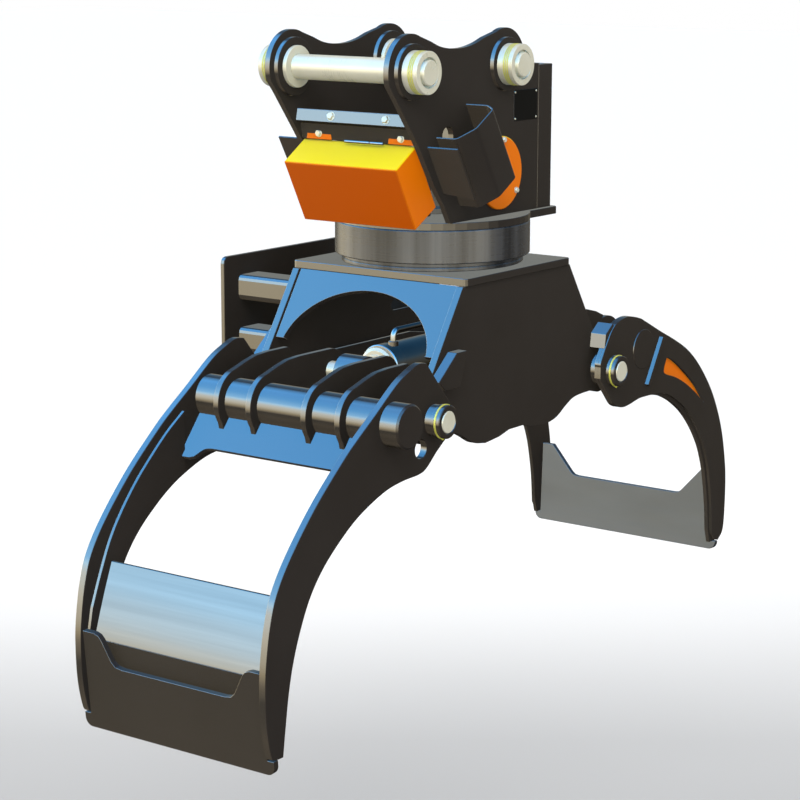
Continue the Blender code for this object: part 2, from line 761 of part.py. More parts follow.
def build_blade(tag, top, low, notch, out, tip_z, finish, pivot):
    """A flat cutting blade: notched above, as wide as both tines below their tips."""
    wide = out - TINE_THICK - GAP
    run = Vector((low[0] - top[0], 0, low[1] - top[1]))
    length = run.length
    run.normalize()
    lean = abs(run.x) * BLADE_THICK / 2
    step = (top[1] - tip_z + lean + 2 * GAP) / abs(run.z)
    corner = BLADE_CORNER_R
    half_line = [(wide, 0.0)] + list(notch)
    low_line = [(wide, step), (out, step)]
    for k in range(5):
        turn = math.radians(90 * k / 4)
        low_line.append((out - corner + corner * math.cos(turn), length - corner + corner * math.sin(turn)))
    half_line = list(reversed(low_line)) + half_line
    outline = half_line + [(-y, s) for y, s in reversed(half_line)]
    outline = [p for i, p in enumerate(outline) if i == 0 or p != outline[i - 1]]
    spot = world(top[0], 0, top[1])
    half = BLADE_THICK / 2
    return prism(tag + "_blade", outline, spot, AXIS_Y, run, -half, half, finish, pivot)


def build_claw(tag, end, paint, blade_finish, steel, orange, zinc):
    """One claw: two tines, four ribs, the tube, the web and the blade."""
    pivot = world(end * PIVOT_X, 0, PIVOT_Z)
    parts = []
    if end < 0:
        out = LEFT_TINE_OUT
        tube_x, tube_z, tube_half = LEFT_TUBE_X, LEFT_TUBE_Z, LEFT_TUBE_HALF
        outline = flow(LEFT_OUTER[:-1], 2) + [LEFT_OUTER[-1]] + flow(LEFT_GRIP, 2)
        outline += arc(0.012 - PIVOT_X, PIVOT_Z - 0.004, 0.086, -60, 48, 8)
    else:
        out = TINE_OUT
        tube_x, tube_z, tube_half = RIGHT_TUBE_X, RIGHT_TUBE_Z, TINE_OUT
        outline = flow(RIGHT_OUTER[:-1], 2) + [RIGHT_OUTER[-1]] + flow(RIGHT_GRIP, 2)
    wide = out - TINE_THICK - GAP

    for label, side in (("near", -1), ("far", 1)):
        inner = side * (out - TINE_THICK)
        outer = side * out
        tine = side_plate_shape(tag + "_tine_" + label, outline, inner, outer, paint, pivot)
        start = out - 0.004
        stop = PIVOT_END - 0.0015
        middle = world(end * PIVOT_X, side * (start + stop) / 2, PIVOT_Z)
        weld(tine, pin_shape("collar", middle, AXIS_Y, (stop - start) / 2, CLAW_COLLAR_R, 0.0015, None, middle))
        if end > 0:
            bar = [(0.822, -0.338), (0.838, -0.347), (0.743, -0.504), (0.727, -0.495)]
            weld(tine, side_plate_shape("bar", bar, outer - side * 0.004, outer + side * 0.015, None, pivot))
            window = flow(WINDOW + [WINDOW[0]], 2)[:-1]
            cut(tine, side_plate_shape("window", window, inner - side * 0.02, outer + side * 0.02, None, pivot))
        else:
            drill(tine, -0.585, -0.494, 0.030, inner - side * 0.02, outer + side * 0.02, 32)
        drill(tine, end * PIVOT_X, PIVOT_Z, PIVOT_R + GAP, inner - side * 0.02, outer + side * 0.08)
        drill(tine, tube_x, tube_z, TUBE_R + GAP, inner - side * 0.02, outer + side * 0.02, 24)
        parts.append(tine)

    spot = world(tube_x, 0, tube_z)
    parts.append(pin_shape(tag + "_tube", spot, AXIS_Y, tube_half, TUBE_R, 0.003, paint, pivot))
    places = ((1, OUTER_RIB_Y, False), (2, INNER_RIB_Y, True), (3, -INNER_RIB_Y, True), (4, -OUTER_RIB_Y, False))
    for number, y, lever in places:
        parts.append(build_rib(tag + "_rib_" + str(number), end, tube_x, tube_z, y, lever, paint, pivot))
    parts.append(build_web(tag + "_web", end, tube_x, tube_z, wide, paint, pivot))

    spot = world(end * LEVER_PIN_X, 0, LEVER_PIN_Z)
    reach = INNER_RIB_Y + RIB_THICK / 2 + 0.006
    parts.append(pin_shape(tag + "_lever_pin", spot, AXIS_Y, reach, LEVER_PIN_R, 0.002, zinc, spot, 32))

    if end < 0:
        # a press-bent notch with rounded shoulders
        notch = [(wide - 0.045, 0.0), (wide - 0.062, 0.006), (wide - 0.073, 0.018), (wide - 0.109, 0.084)]
        notch += [(wide - 0.124, 0.097), (wide - 0.150, 0.101)]
        top, low = (-1.328, -1.027), (-1.298, -1.344)
        tip_z = min(z for _, z in outline)
        parts.append(build_blade(tag, top, low, notch, out, tip_z, blade_finish, pivot))
        back = [(-1.213, -0.834), (-1.252, -0.934), (-1.286, -1.032), (-1.297, -1.080), (-1.3015, -1.140), (-1.300, -1.200)]
        front = [(x + 0.012, z) for x, z in back]
        outline = flow(front, 3) + list(reversed(flow(back, 3)))
        parts.append(side_plate_shape("left_shell", outline, -wide, wide, steel, pivot))
    else:
        notch = [(wide - 0.045, 0.0), (wide - 0.052, 0.008), (wide - 0.133, 0.098), (wide - 0.145, 0.107), (wide - 0.165, 0.110)]
        top, low = (1.298, -0.916), (1.284, -1.221)
        tip_z = min(z for _, z in outline)
        parts.append(build_blade(tag, top, low, notch, out, tip_z, blade_finish, pivot))
        for label, side in (("near", -1), ("far", 1)):
            panel = [
                (0.875, -0.406),
                (0.846, -0.464),
                (0.862, -0.494),
                (0.949, -0.520),
                (1.025, -0.557),
                (1.175, -0.652),
                (1.174, -0.637),
                (1.067, -0.526),
                (0.980, -0.460),
                (0.919, -0.424),
            ]
            y0 = side * wide
            parts.append(side_plate_shape("window_panel_" + label, panel, y0, y0 - side * 0.004, orange, pivot))
    return parts


def build_cylinder(steel, chrome, machined):
    """The cylinder between the claws' levers: a rod and a barrel."""
    rod_spot = world(-LEVER_PIN_X, 0, LEVER_PIN_Z)
    barrel_spot = world(LEVER_PIN_X, 0, LEVER_PIN_Z)
    line = world(0, 0, LEVER_PIN_Z)

    eye_x = -LEVER_PIN_X
    profile = [
        (0, eye_x + 0.035),
        (ROD_R, eye_x + 0.035),
        (ROD_R, 0.220),
        (BARREL_BORE_R - GAP, 0.220),
        (BARREL_BORE_R - GAP, 0.280),
        (0, 0.280),
    ]
    rod = lathe("cylinder_rod", profile, line, AXIS_X, chrome, rod_spot)
    eye = pin_shape("eye", rod_spot, AXIS_Y, EYE_HALF, EYE_R, 0.003, None, rod_spot)
    weld(rod, eye)
    drill(rod, eye_x, LEVER_PIN_Z, LEVER_PIN_R + GAP, -0.08, 0.08)

    cap = LEVER_PIN_X - 0.075
    profile = [
        (BARREL_BORE_R, BARREL_LEFT_X),
        (BARREL_R - 0.003, BARREL_LEFT_X),
        (BARREL_R, BARREL_LEFT_X + 0.003),
        (BARREL_R, cap - 0.010),
        (BARREL_R - 0.010, cap),
        (0.040, cap),
        (0.040, LEVER_PIN_X - 0.035),
        (0, LEVER_PIN_X - 0.035),
        (0, BARREL_CAP_X),
        (BARREL_BORE_R, BARREL_CAP_X),
    ]
    barrel = lathe("cylinder_barrel", profile, line, AXIS_X, steel, barrel_spot)
    eye = pin_shape("eye", barrel_spot, AXIS_Y, EYE_HALF, EYE_R, 0.003, None, barrel_spot)
    weld(barrel, eye)
    drill(barrel, LEVER_PIN_X, LEVER_PIN_Z, LEVER_PIN_R + GAP, -0.08, 0.08)

    left = BARREL_LEFT_X - 0.020
    right = BARREL_LEFT_X - GAP
    profile = [
        (ROD_R + GAP, left),
        (0.058, left),
        (0.068, left + 0.006),
        (0.068, right),
        (ROD_R + GAP, right),
    ]
    gland = lathe("cylinder_gland", profile, line, AXIS_X, machined, barrel_spot)
    return [rod], [barrel, gland]


def group(name, spot, parts, above=None):
    """An empty on the joint axis that carries a body's pieces."""
    holder = bpy.data.objects.new(name, None)
    holder.empty_display_size = 0.05
    holder.location = spot
    bpy.context.scene.collection.objects.link(holder)
    bpy.context.view_layer.update()
    if above is not None:
        holder.parent = above
        holder.matrix_parent_inverse = above.matrix_world.inverted()
        bpy.context.view_layer.update()
    for part in parts:
        part.parent = holder
        part.matrix_parent_inverse = holder.matrix_world.inverted()
    return holder


def main():
    clear_scene()
    paint = material("black_paint", (0.045, 0.038, 0.032), 0.0, 0.28)
    orange = material("orange_paint", (0.78, 0.19, 0.01), 0.0, 0.35)
    zinc = material("zinc_plate", (0.78, 0.76, 0.70), 1.0, 0.30)
    machined = material("machined_steel", (0.42, 0.41, 0.40), 1.0, 0.32)
    chrome = material("chrome_rod", (0.75, 0.76, 0.78), 1.0, 0.12)
    blade = material("blade_steel", (0.40, 0.41, 0.43), 1.0, 0.38)
    casting = material("cast_iron", (0.09, 0.09, 0.10), 0.0, 0.55)

    head = build_head(paint, zinc, orange, machined, casting)
    frame = build_frame(paint, machined, zinc)
    left = build_claw("left", -1, paint, paint, blade, orange, zinc)
    right = build_claw("right", 1, paint, blade, blade, orange, zinc)
    rod, barrel = build_cylinder(paint, chrome, machined)

    head_holder = group("head", world(0, 0, 0), head)
    frame_holder = group("slewing_frame", world(0, 0, 0), frame, head_holder)
    left_holder = group("left_claw", world(-PIVOT_X, 0, PIVOT_Z), left, frame_holder)
    right_holder = group("right_claw", world(PIVOT_X, 0, PIVOT_Z), right, frame_holder)
    group("rod_body", world(-LEVER_PIN_X, 0, LEVER_PIN_Z), rod, left_holder)
    group("barrel_body", world(LEVER_PIN_X, 0, LEVER_PIN_Z), barrel, right_holder)


main()
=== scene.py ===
import logging
import math
from dataclasses import dataclass, field
from enum import Enum
from typing import Iterable, Sequence

import bmesh
import bpy
from mathutils import Matrix, Vector


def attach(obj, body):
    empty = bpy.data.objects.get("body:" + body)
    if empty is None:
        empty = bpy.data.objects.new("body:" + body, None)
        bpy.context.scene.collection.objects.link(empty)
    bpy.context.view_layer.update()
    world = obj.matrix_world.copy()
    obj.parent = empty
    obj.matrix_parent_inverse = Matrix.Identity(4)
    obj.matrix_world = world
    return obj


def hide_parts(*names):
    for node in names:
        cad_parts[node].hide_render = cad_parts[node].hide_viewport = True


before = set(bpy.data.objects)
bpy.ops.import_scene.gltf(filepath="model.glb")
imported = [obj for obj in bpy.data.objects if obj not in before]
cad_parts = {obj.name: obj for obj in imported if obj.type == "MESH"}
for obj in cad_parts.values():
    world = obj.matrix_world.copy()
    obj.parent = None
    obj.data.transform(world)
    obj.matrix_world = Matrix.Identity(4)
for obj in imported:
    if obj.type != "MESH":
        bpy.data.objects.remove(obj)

LOG = logging.getLogger("log_grapple")
Point = tuple[float, float]
AXIS_X = Vector((1, 0, 0))
AXIS_Y = Vector((0, 1, 0))
AXIS_Z = Vector((0, 0, 1))
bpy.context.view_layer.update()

# sizes that the CAD and the looks share, read from the slew axis and the frame's top face
STICK_PIN_X = 0.062
LINK_PIN_X = -0.457
PIN_Z = 0.652
PIVOT_X = 0.516
PIVOT_Z = -0.413
EAR_OUT = 0.243
EAR_THICK = 0.0195
SIDE_OUT = 0.344
SIDE_THICK = 0.025
TINE_OUT = 0.404
TINE_THICK = 0.024
LEFT_TINE_OUT = 0.379
GAP = 0.0003
EDGE_FACETS = 2
# the share of the clear coat that is left on faces along the pins' axis: painted shade that keeps those faces
# from mirroring the studio, so they stay dark
THIN_COAT = 0.12
PIVOT_END = 0.4365
LEVER_X = 0.420
LEVER_Z = -0.325


class Side(Enum):
    """The two sides of the grapple along its pins."""

    NEAR = -1
    FAR = 1

    @property
    def tag(self) -> str:
        """The word that the CAD node names use."""
        return self.name.lower()


class End(Enum):
    """The two ends of the grapple, one for each claw."""

    LEFT = -1
    RIGHT = 1

    @property
    def tag(self) -> str:
        """The word that the CAD node names use."""
        return self.name.lower()

    @property
    def face(self) -> float:
        """How far out the tines' outer faces stand: the left claw closes inside the right one."""
        return LEFT_TINE_OUT if self is End.LEFT else TINE_OUT


class Ring(Enum):
    """The two hanger pins of the head."""

    STICK = STICK_PIN_X
    LINK = LINK_PIN_X


def at(x: float, y: float, z: float) -> Vector:
    """Turn a place read from the slew axis into the row's frame.

    Args:
        x: distance from the slew axis towards the right claw.
        y: distance towards the far side.
        z: height above the frame's top face.

    Returns:
        The place in the row's own frame, whose origin is the stick pin's middle.
    """
    return Vector((x - STICK_PIN_X, y, z - PIN_Z))


def linear(hex_code: str) -> tuple[float, float, float, float]:
    """Turn an sRGB hex colour into Blender's linear colour.

    Args:
        hex_code: six hex digits, such as "2a2622".

    Returns:
        Linear red, green, blue and an alpha of one.
    """
    parts = [int(hex_code[i : i + 2], 16) / 255 for i in (0, 2, 4)]
    out = [c / 12.92 if c <= 0.04045 else ((c + 0.055) / 1.055) ** 2.4 for c in parts]
    return (out[0], out[1], out[2], 1.0)


def add_node(
    tree: bpy.types.NodeTree,
    kind: str,
    settings: dict[str, object] | None = None,
    values: dict[str, object] | None = None,
    links: dict[str, bpy.types.NodeSocket] | None = None,
) -> bpy.types.Node:
    """Add a shader node with its settings, socket values and incoming links.

    Args:
        tree: the node tree.
        kind: the node's type name.
        settings: attributes of the node.
        values: values of its input sockets, by name or index.
        links: sockets that feed its inputs, by name or index.

    Returns:
        The new node.
    """
    node = tree.nodes.new(kind)
    for key, value in (settings or {}).items():
        setattr(node, key, value)
    for key, value in (values or {}).items():
        node.inputs[key].default_value = value
    for key, socket in (links or {}).items():
        tree.links.new(socket, node.inputs[key])
    return node


def ramp(
    tree: bpy.types.NodeTree,
    source: bpy.types.NodeSocket,
    stops: Sequence[tuple[float, tuple[float, ...]]],
) -> bpy.types.NodeSocket:
    """Feed a value through a colour ramp.

    Args:
        tree: the node tree.
        source: the value.
        stops: places and colours, low to high.

    Returns:
        The ramp's colour socket.
    """
    node = add_node(tree, "ShaderNodeValToRGB", links={"Fac": source})
    band = node.color_ramp
    while len(band.elements) < len(stops):
        band.elements.new(0.5)
    for element, (place, colour) in zip(band.elements, stops):
        element.position = place
        element.color = colour if len(colour) == 4 else (*colour, 1.0)
    return node.outputs["Color"]


@dataclass(frozen=True)
class Finish:
    """A material with the way its surface was made; some finishes also carry painted light and shade by face
    direction.

    The pattern sizes are in millimetres. The grapple is 2.7 m wide, so a pixel of the main
    view is about 4 mm, and patterns under that are drawn coarser than life.
    """

    name: str
    base: str
    second: str
    metallic: float
    rough_low: float
    rough_high: float
    cloud_mm: tuple[float, float, float]
    grain_mm: tuple[float, float, float]
    grain_depth_mm: float
    edge: str
    edge_mm: float = 2.0
    edge_wear: float = 0.18
    coat: float = 0.0
    coat_rough: float = 0.05
    coat_ior: float = 1.5
    specular: float = 0.5
    # painted light and shade by slope: the colours that faces looking up and looking down are mixed towards
    up_tone: str = ""
    down_tone: str = ""

    def make(self) -> bpy.types.Material:
        """Build the finish as a node material.

        Returns:
            The material, ready to be put in a slot.
        """
        made = bpy.data.materials.new(self.name)
        made.use_nodes = True
        tree = made.node_tree
        shader = tree.nodes["Principled BSDF"]
        coords = add_node(tree, "ShaderNodeTexCoord").outputs["Object"]
        cloud = self.noise(tree, coords, self.cloud_mm, 4.0)
        grain = self.noise(tree, coords, self.grain_mm, 3.0)
        rounded = add_node(
            tree, "ShaderNodeBevel", settings={"samples": 4}, values={"Radius": self.edge_mm / 1000}
        ).outputs["Normal"]
        colour = ramp(tree, cloud, [(0.35, linear(self.base)), (0.68, linear(self.second))])
        # painted light and shade: faces that look up get a painted highlight tone, faces that look down a
        # painted shade tone
        if self.up_tone:
            colour = self.tone_by_slope(tree, colour, rounded)
        colour = self.wear_edges(tree, colour, rounded)
        tree.links.new(colour, shader.inputs["Base Color"])
        tree.links.new(self.roughness(tree, cloud, grain), shader.inputs["Roughness"])
        bump = add_node(
            tree,
            "ShaderNodeBump",
            values={"Strength": 0.6, "Distance": self.grain_depth_mm / 1000},
            links={"Height": grain, "Normal": rounded},
        ).outputs["Normal"]
        tree.links.new(bump, shader.inputs["Normal"])
        shader.inputs["Metallic"].default_value = self.metallic
        shader.inputs["Specular IOR Level"].default_value = self.specular
        shader.inputs["Coat Weight"].default_value = self.coat
        shader.inputs["Coat Roughness"].default_value = self.coat_rough
        shader.inputs["Coat IOR"].default_value = self.coat_ior
        # painted shade: the coat is thinned on faces along the pins' axis so that they stay dark
        if self.coat:
            tree.links.new(self.polish(tree, self.coat), shader.inputs["Coat Weight"])
        return made

    @staticmethod
    def noise(
        tree: bpy.types.NodeTree,
        coords: bpy.types.NodeSocket,
        size_mm: tuple[float, float, float],
        detail: float,
    ) -> bpy.types.NodeSocket:
        """A cloud whose lumps have the given size along each axis.

        Args:
            tree: the node tree.
            coords: object coordinates in metres.
            size_mm: the size of a lump along X, Y and Z.
            detail: how many finer layers it has.

        Returns:
            The cloud's value.
        """
        stretch = add_node(
            tree, "ShaderNodeMapping", values={"Scale": tuple(1000 / g for g in size_mm)},
            links={"Vector": coords}
        ).outputs["Vector"]
        return add_node(
            tree,
            "ShaderNodeTexNoise",
            values={"Scale": 1.0, "Detail": detail, "Roughness": 0.55},
            links={"Vector": stretch},
        ).outputs["Fac"]

    def tone_by_slope(
        self, tree: bpy.types.NodeTree, colour: bpy.types.NodeSocket, rounded: bpy.types.NodeSocket
    ) -> bpy.types.NodeSocket:
        """Paint light and shade by slope: a painted highlight tone on faces that look up and a painted shade
        tone on faces that look down.

        Args:
            tree: the node tree.
            colour: the colour of upright faces.
            rounded: the normal with its edges rounded.

        Returns:
            The colour with its painted light and shade.
        """
        split = add_node(tree, "ShaderNodeSeparateXYZ", links={"Vector": rounded})
        # the first tone is a painted highlight, the second a painted shade
        for tone, start, stop in ((self.up_tone, 0.35, 0.62), (self.down_tone, -0.12, -0.34)):
            share = add_node(
                tree,
                "ShaderNodeMapRange",
                values={"From Min": start, "From Max": stop},
                links={"Value": split.outputs["Z"]},
            ).outputs["Result"]
            mix = add_node(
                tree, "ShaderNodeMix", settings={"data_type": "RGBA"}, values={7: linear(tone)},
                links={"Factor": share, 6: colour}
            )
            colour = mix.outputs[2]
        return colour

    @staticmethod
    def polish(tree: bpy.types.NodeTree, full: float) -> bpy.types.NodeSocket:
        """Painted shade: keep the full clear coat on edges and slopes, but only a thin one on faces along the
        pins' axis, so those faces mirror less and stay dark.

        Args:
            tree: the node tree.
            full: the coat of every other face.

        Returns:
            The coat.
        """
        facing = add_node(tree, "ShaderNodeTexCoord").outputs["Normal"]
        split = add_node(tree, "ShaderNodeSeparateXYZ", links={"Vector": facing})
        side = add_node(
            tree, "ShaderNodeMath", settings={"operation": "ABSOLUTE"}, links={0: split.outputs["Y"]}
        ).outputs["Value"]
        return add_node(
            tree,
            "ShaderNodeMapRange",
            values={"From Min": 0.45, "From Max": 0.85, "To Min": full, "To Max": full * THIN_COAT},
            links={"Value": side},
        ).outputs["Result"]

    def wear_edges(
        self, tree: bpy.types.NodeTree, colour: bpy.types.NodeSocket, rounded: bpy.types.NodeSocket
    ) -> bpy.types.NodeSocket:
        """Thin the finish a little on the broken edges.

        Args:
            tree: the node tree.
            colour: the colour of the open faces.
            rounded: the normal with its edges rounded.

        Returns:
            The colour with its edges.
        """
        flat = add_node(tree, "ShaderNodeNewGeometry").outputs["Normal"]
        bend = add_node(
            tree, "ShaderNodeVectorMath", settings={"operation": "DOT_PRODUCT"}, links={0: rounded, 1: flat}
        ).outputs["Value"]
        share = add_node(
            tree,
            "ShaderNodeMapRange",
            values={"From Min": 0.985, "From Max": 0.86, "To Max": self.edge_wear},
            links={"Value": bend},
        ).outputs["Result"]
        mix = add_node(
            tree, "ShaderNodeMix", settings={"data_type": "RGBA"}, values={7: linear(self.edge)},
            links={"Factor": share, 6: colour}
        )
        return mix.outputs[2]

    def roughness(
        self, tree: bpy.types.NodeTree, cloud: bpy.types.NodeSocket, grain: bpy.types.NodeSocket
    ) -> bpy.types.NodeSocket:
        """Let the gloss drift with the clouds and the grain.

        Args:
            tree: the node tree.
            cloud: the wide pattern.
            grain: the fine pattern.

        Returns:
            The roughness.
        """
        both = add_node(
            tree, "ShaderNodeMath", settings={"operation": "ADD"}, links={0: cloud, 1: grain}
        ).outputs["Value"]
        return add_node(
            tree,
            "ShaderNodeMapRange",
            values={"From Min": 0.6, "From Max": 1.4, "To Min": self.rough_low, "To Max": self.rough_high},
            links={"Value": both},
        ).outputs["Result"]


# Two-part enamel, sprayed on blasted plate and polished: near black and a little brown. Its coat is thinned
# on faces along the pins' axis as painted shade, so a plate shows one even dark tone and every slope, round
# and edge mirrors the light around it.
SPRAYED_ENAMEL = Finish(
    "sprayed_black_enamel_on_plate", "2f2b28", "332f2c", 0.0, 0.10, 0.20, (420, 420, 420), (30, 30, 30),
    0.006,
    "5a544c", coat=1.0, coat_rough=0.03, coat_ior=1.7, specular=0.1,
)
# Orange enamel on folded sheet, with painted light and shade: a painted yellow highlight where it looks up, a
# painted burnt orange shade where it looks down.
ORANGE_ENAMEL = Finish(
    "pearl_orange_enamel_on_sheet", "ec7400", "ef7a00", 0.0, 0.30, 0.42, (260, 260, 260), (24, 24, 24), 0.001,
    "ffb020", edge_mm=5.0, edge_wear=0.3, coat=0.04, coat_rough=0.10, specular=0.08, up_tone="f6e600",
    down_tone="da5f00",
)
# Zinc plating over turned steel, sealed: a creamy, nearly white skin with soft turning marks.
ZINC_ON_TURNED_STEEL = Finish(
    "zinc_plated_turned_steel", "d6d3bd", "dfdcc8", 0.12, 0.24, 0.36, (160, 160, 160), (60, 3, 60), 0.010,
    "f4efe2", specular=0.35,
)
# Yellow chromate on spring steel: the snap rings, satin and greenish yellow.
YELLOW_CHROMATE = Finish(
    "yellow_chromate_spring_steel", "d6d24a", "e6e36a", 0.10, 0.28, 0.40, (60, 60, 60), (10, 10, 10), 0.006,
    "f2f0b0",
)
# The slew ring, turned, oiled and dark: streaks that stand up and down, from the oil's runs.
TURNED_RING_STEEL = Finish(
    "turned_oiled_ring_steel", "2e2e2f", "5a5b5d", 0.3, 0.22, 0.34, (75, 75, 3000), (300, 300, 12), 0.001,
    "8c8f94", specular=0.3,
)
# Hard chrome, ground and polished, in a dark bay: a mirror with hardly any grain.
HARD_CHROME = Finish(
    "ground_hard_chrome", "66696d", "6e7175", 1.0, 0.08, 0.14, (200, 200, 200), (8, 30, 30), 0.004, "a9abad",
)
# Rolled wear sheet with its mill skin buffed: mirrors the sky in soft bands across the claw.
BUFFED_SHELL_SHEET = Finish(
    "buffed_rolled_sheet", "505152", "575859", 1.0, 0.08, 0.12, (30, 1400, 30), (14, 900, 14), 0.003,
    "8f9091",
)
# Wear plate, ground: satin silver grey, grain along the blade.
GROUND_WEAR_PLATE = Finish(
    "ground_wear_plate", "464a50", "50545a", 0.65, 0.28, 0.40, (500, 900, 260), (14, 260, 14), 0.010,
    "8a8b8c",
)
# Drawn hydraulic pipe and the honed tube, bright zinc: smoother than the turned pins.
DRAWN_PIPE = Finish(
    "drawn_zinc_pipe", "6b6d6e", "747677", 1.0, 0.14, 0.22, (140, 140, 140), (30, 30, 30), 0.006, "a8aaac",
)
# Grey iron casting under thin paint: dull, pebbly, no sharp highlight.
PAINTED_CASTING = Finish(
    "painted_iron_casting", "1f1f20", "28282a", 0.0, 0.42, 0.58, (70, 70, 70), (9, 9, 9), 0.20, "4a4a4e",
    edge_mm=4.0,
)
# Moulded rubber in the hose slot: matt black, swallows nearly all the light.
MOULDED_RUBBER = Finish(
    "moulded_black_rubber", "0a0a0a", "111111", 0.0, 0.50, 0.65, (60, 60, 60), (6, 6, 6), 0.02, "242424",
    specular=0.2,
)
# Bare anodised sheet for the empty type plate: dark, even and matt.
DARK_ANODISED = Finish(
    "dark_anodised_aluminium", "050506", "09090a", 0.6, 0.35, 0.45, (90, 90, 90), (5, 40, 5), 0.010, "45454a",
)
FINISHES = (
    SPRAYED_ENAMEL, ORANGE_ENAMEL, ZINC_ON_TURNED_STEEL, YELLOW_CHROMATE, TURNED_RING_STEEL, HARD_CHROME,
    BUFFED_SHELL_SHEET, GROUND_WEAR_PLATE, DRAWN_PIPE, PAINTED_CASTING, MOULDED_RUBBER, DARK_ANODISED,
)
CAD_FINISH = {
    "black_paint": SPRAYED_ENAMEL,
    "orange_paint": ORANGE_ENAMEL,
    "zinc_plate": ZINC_ON_TURNED_STEEL,
    "machined_steel": TURNED_RING_STEEL,
    "chrome_rod": HARD_CHROME,
    "blade_steel": GROUND_WEAR_PLATE,
    "cast_iron": PAINTED_CASTING,
}
SLOT_OF = {finish.name: slot for slot, finish in CAD_FINISH.items()}
SLOT_OF.update(
    {
        YELLOW_CHROMATE.name: "zinc_plate",
        DRAWN_PIPE.name: "zinc_plate",
        BUFFED_SHELL_SHEET.name: "blade_steel",
        DARK_ANODISED.name: "machined_steel",
        MOULDED_RUBBER.name: "cast_iron",
    }
)


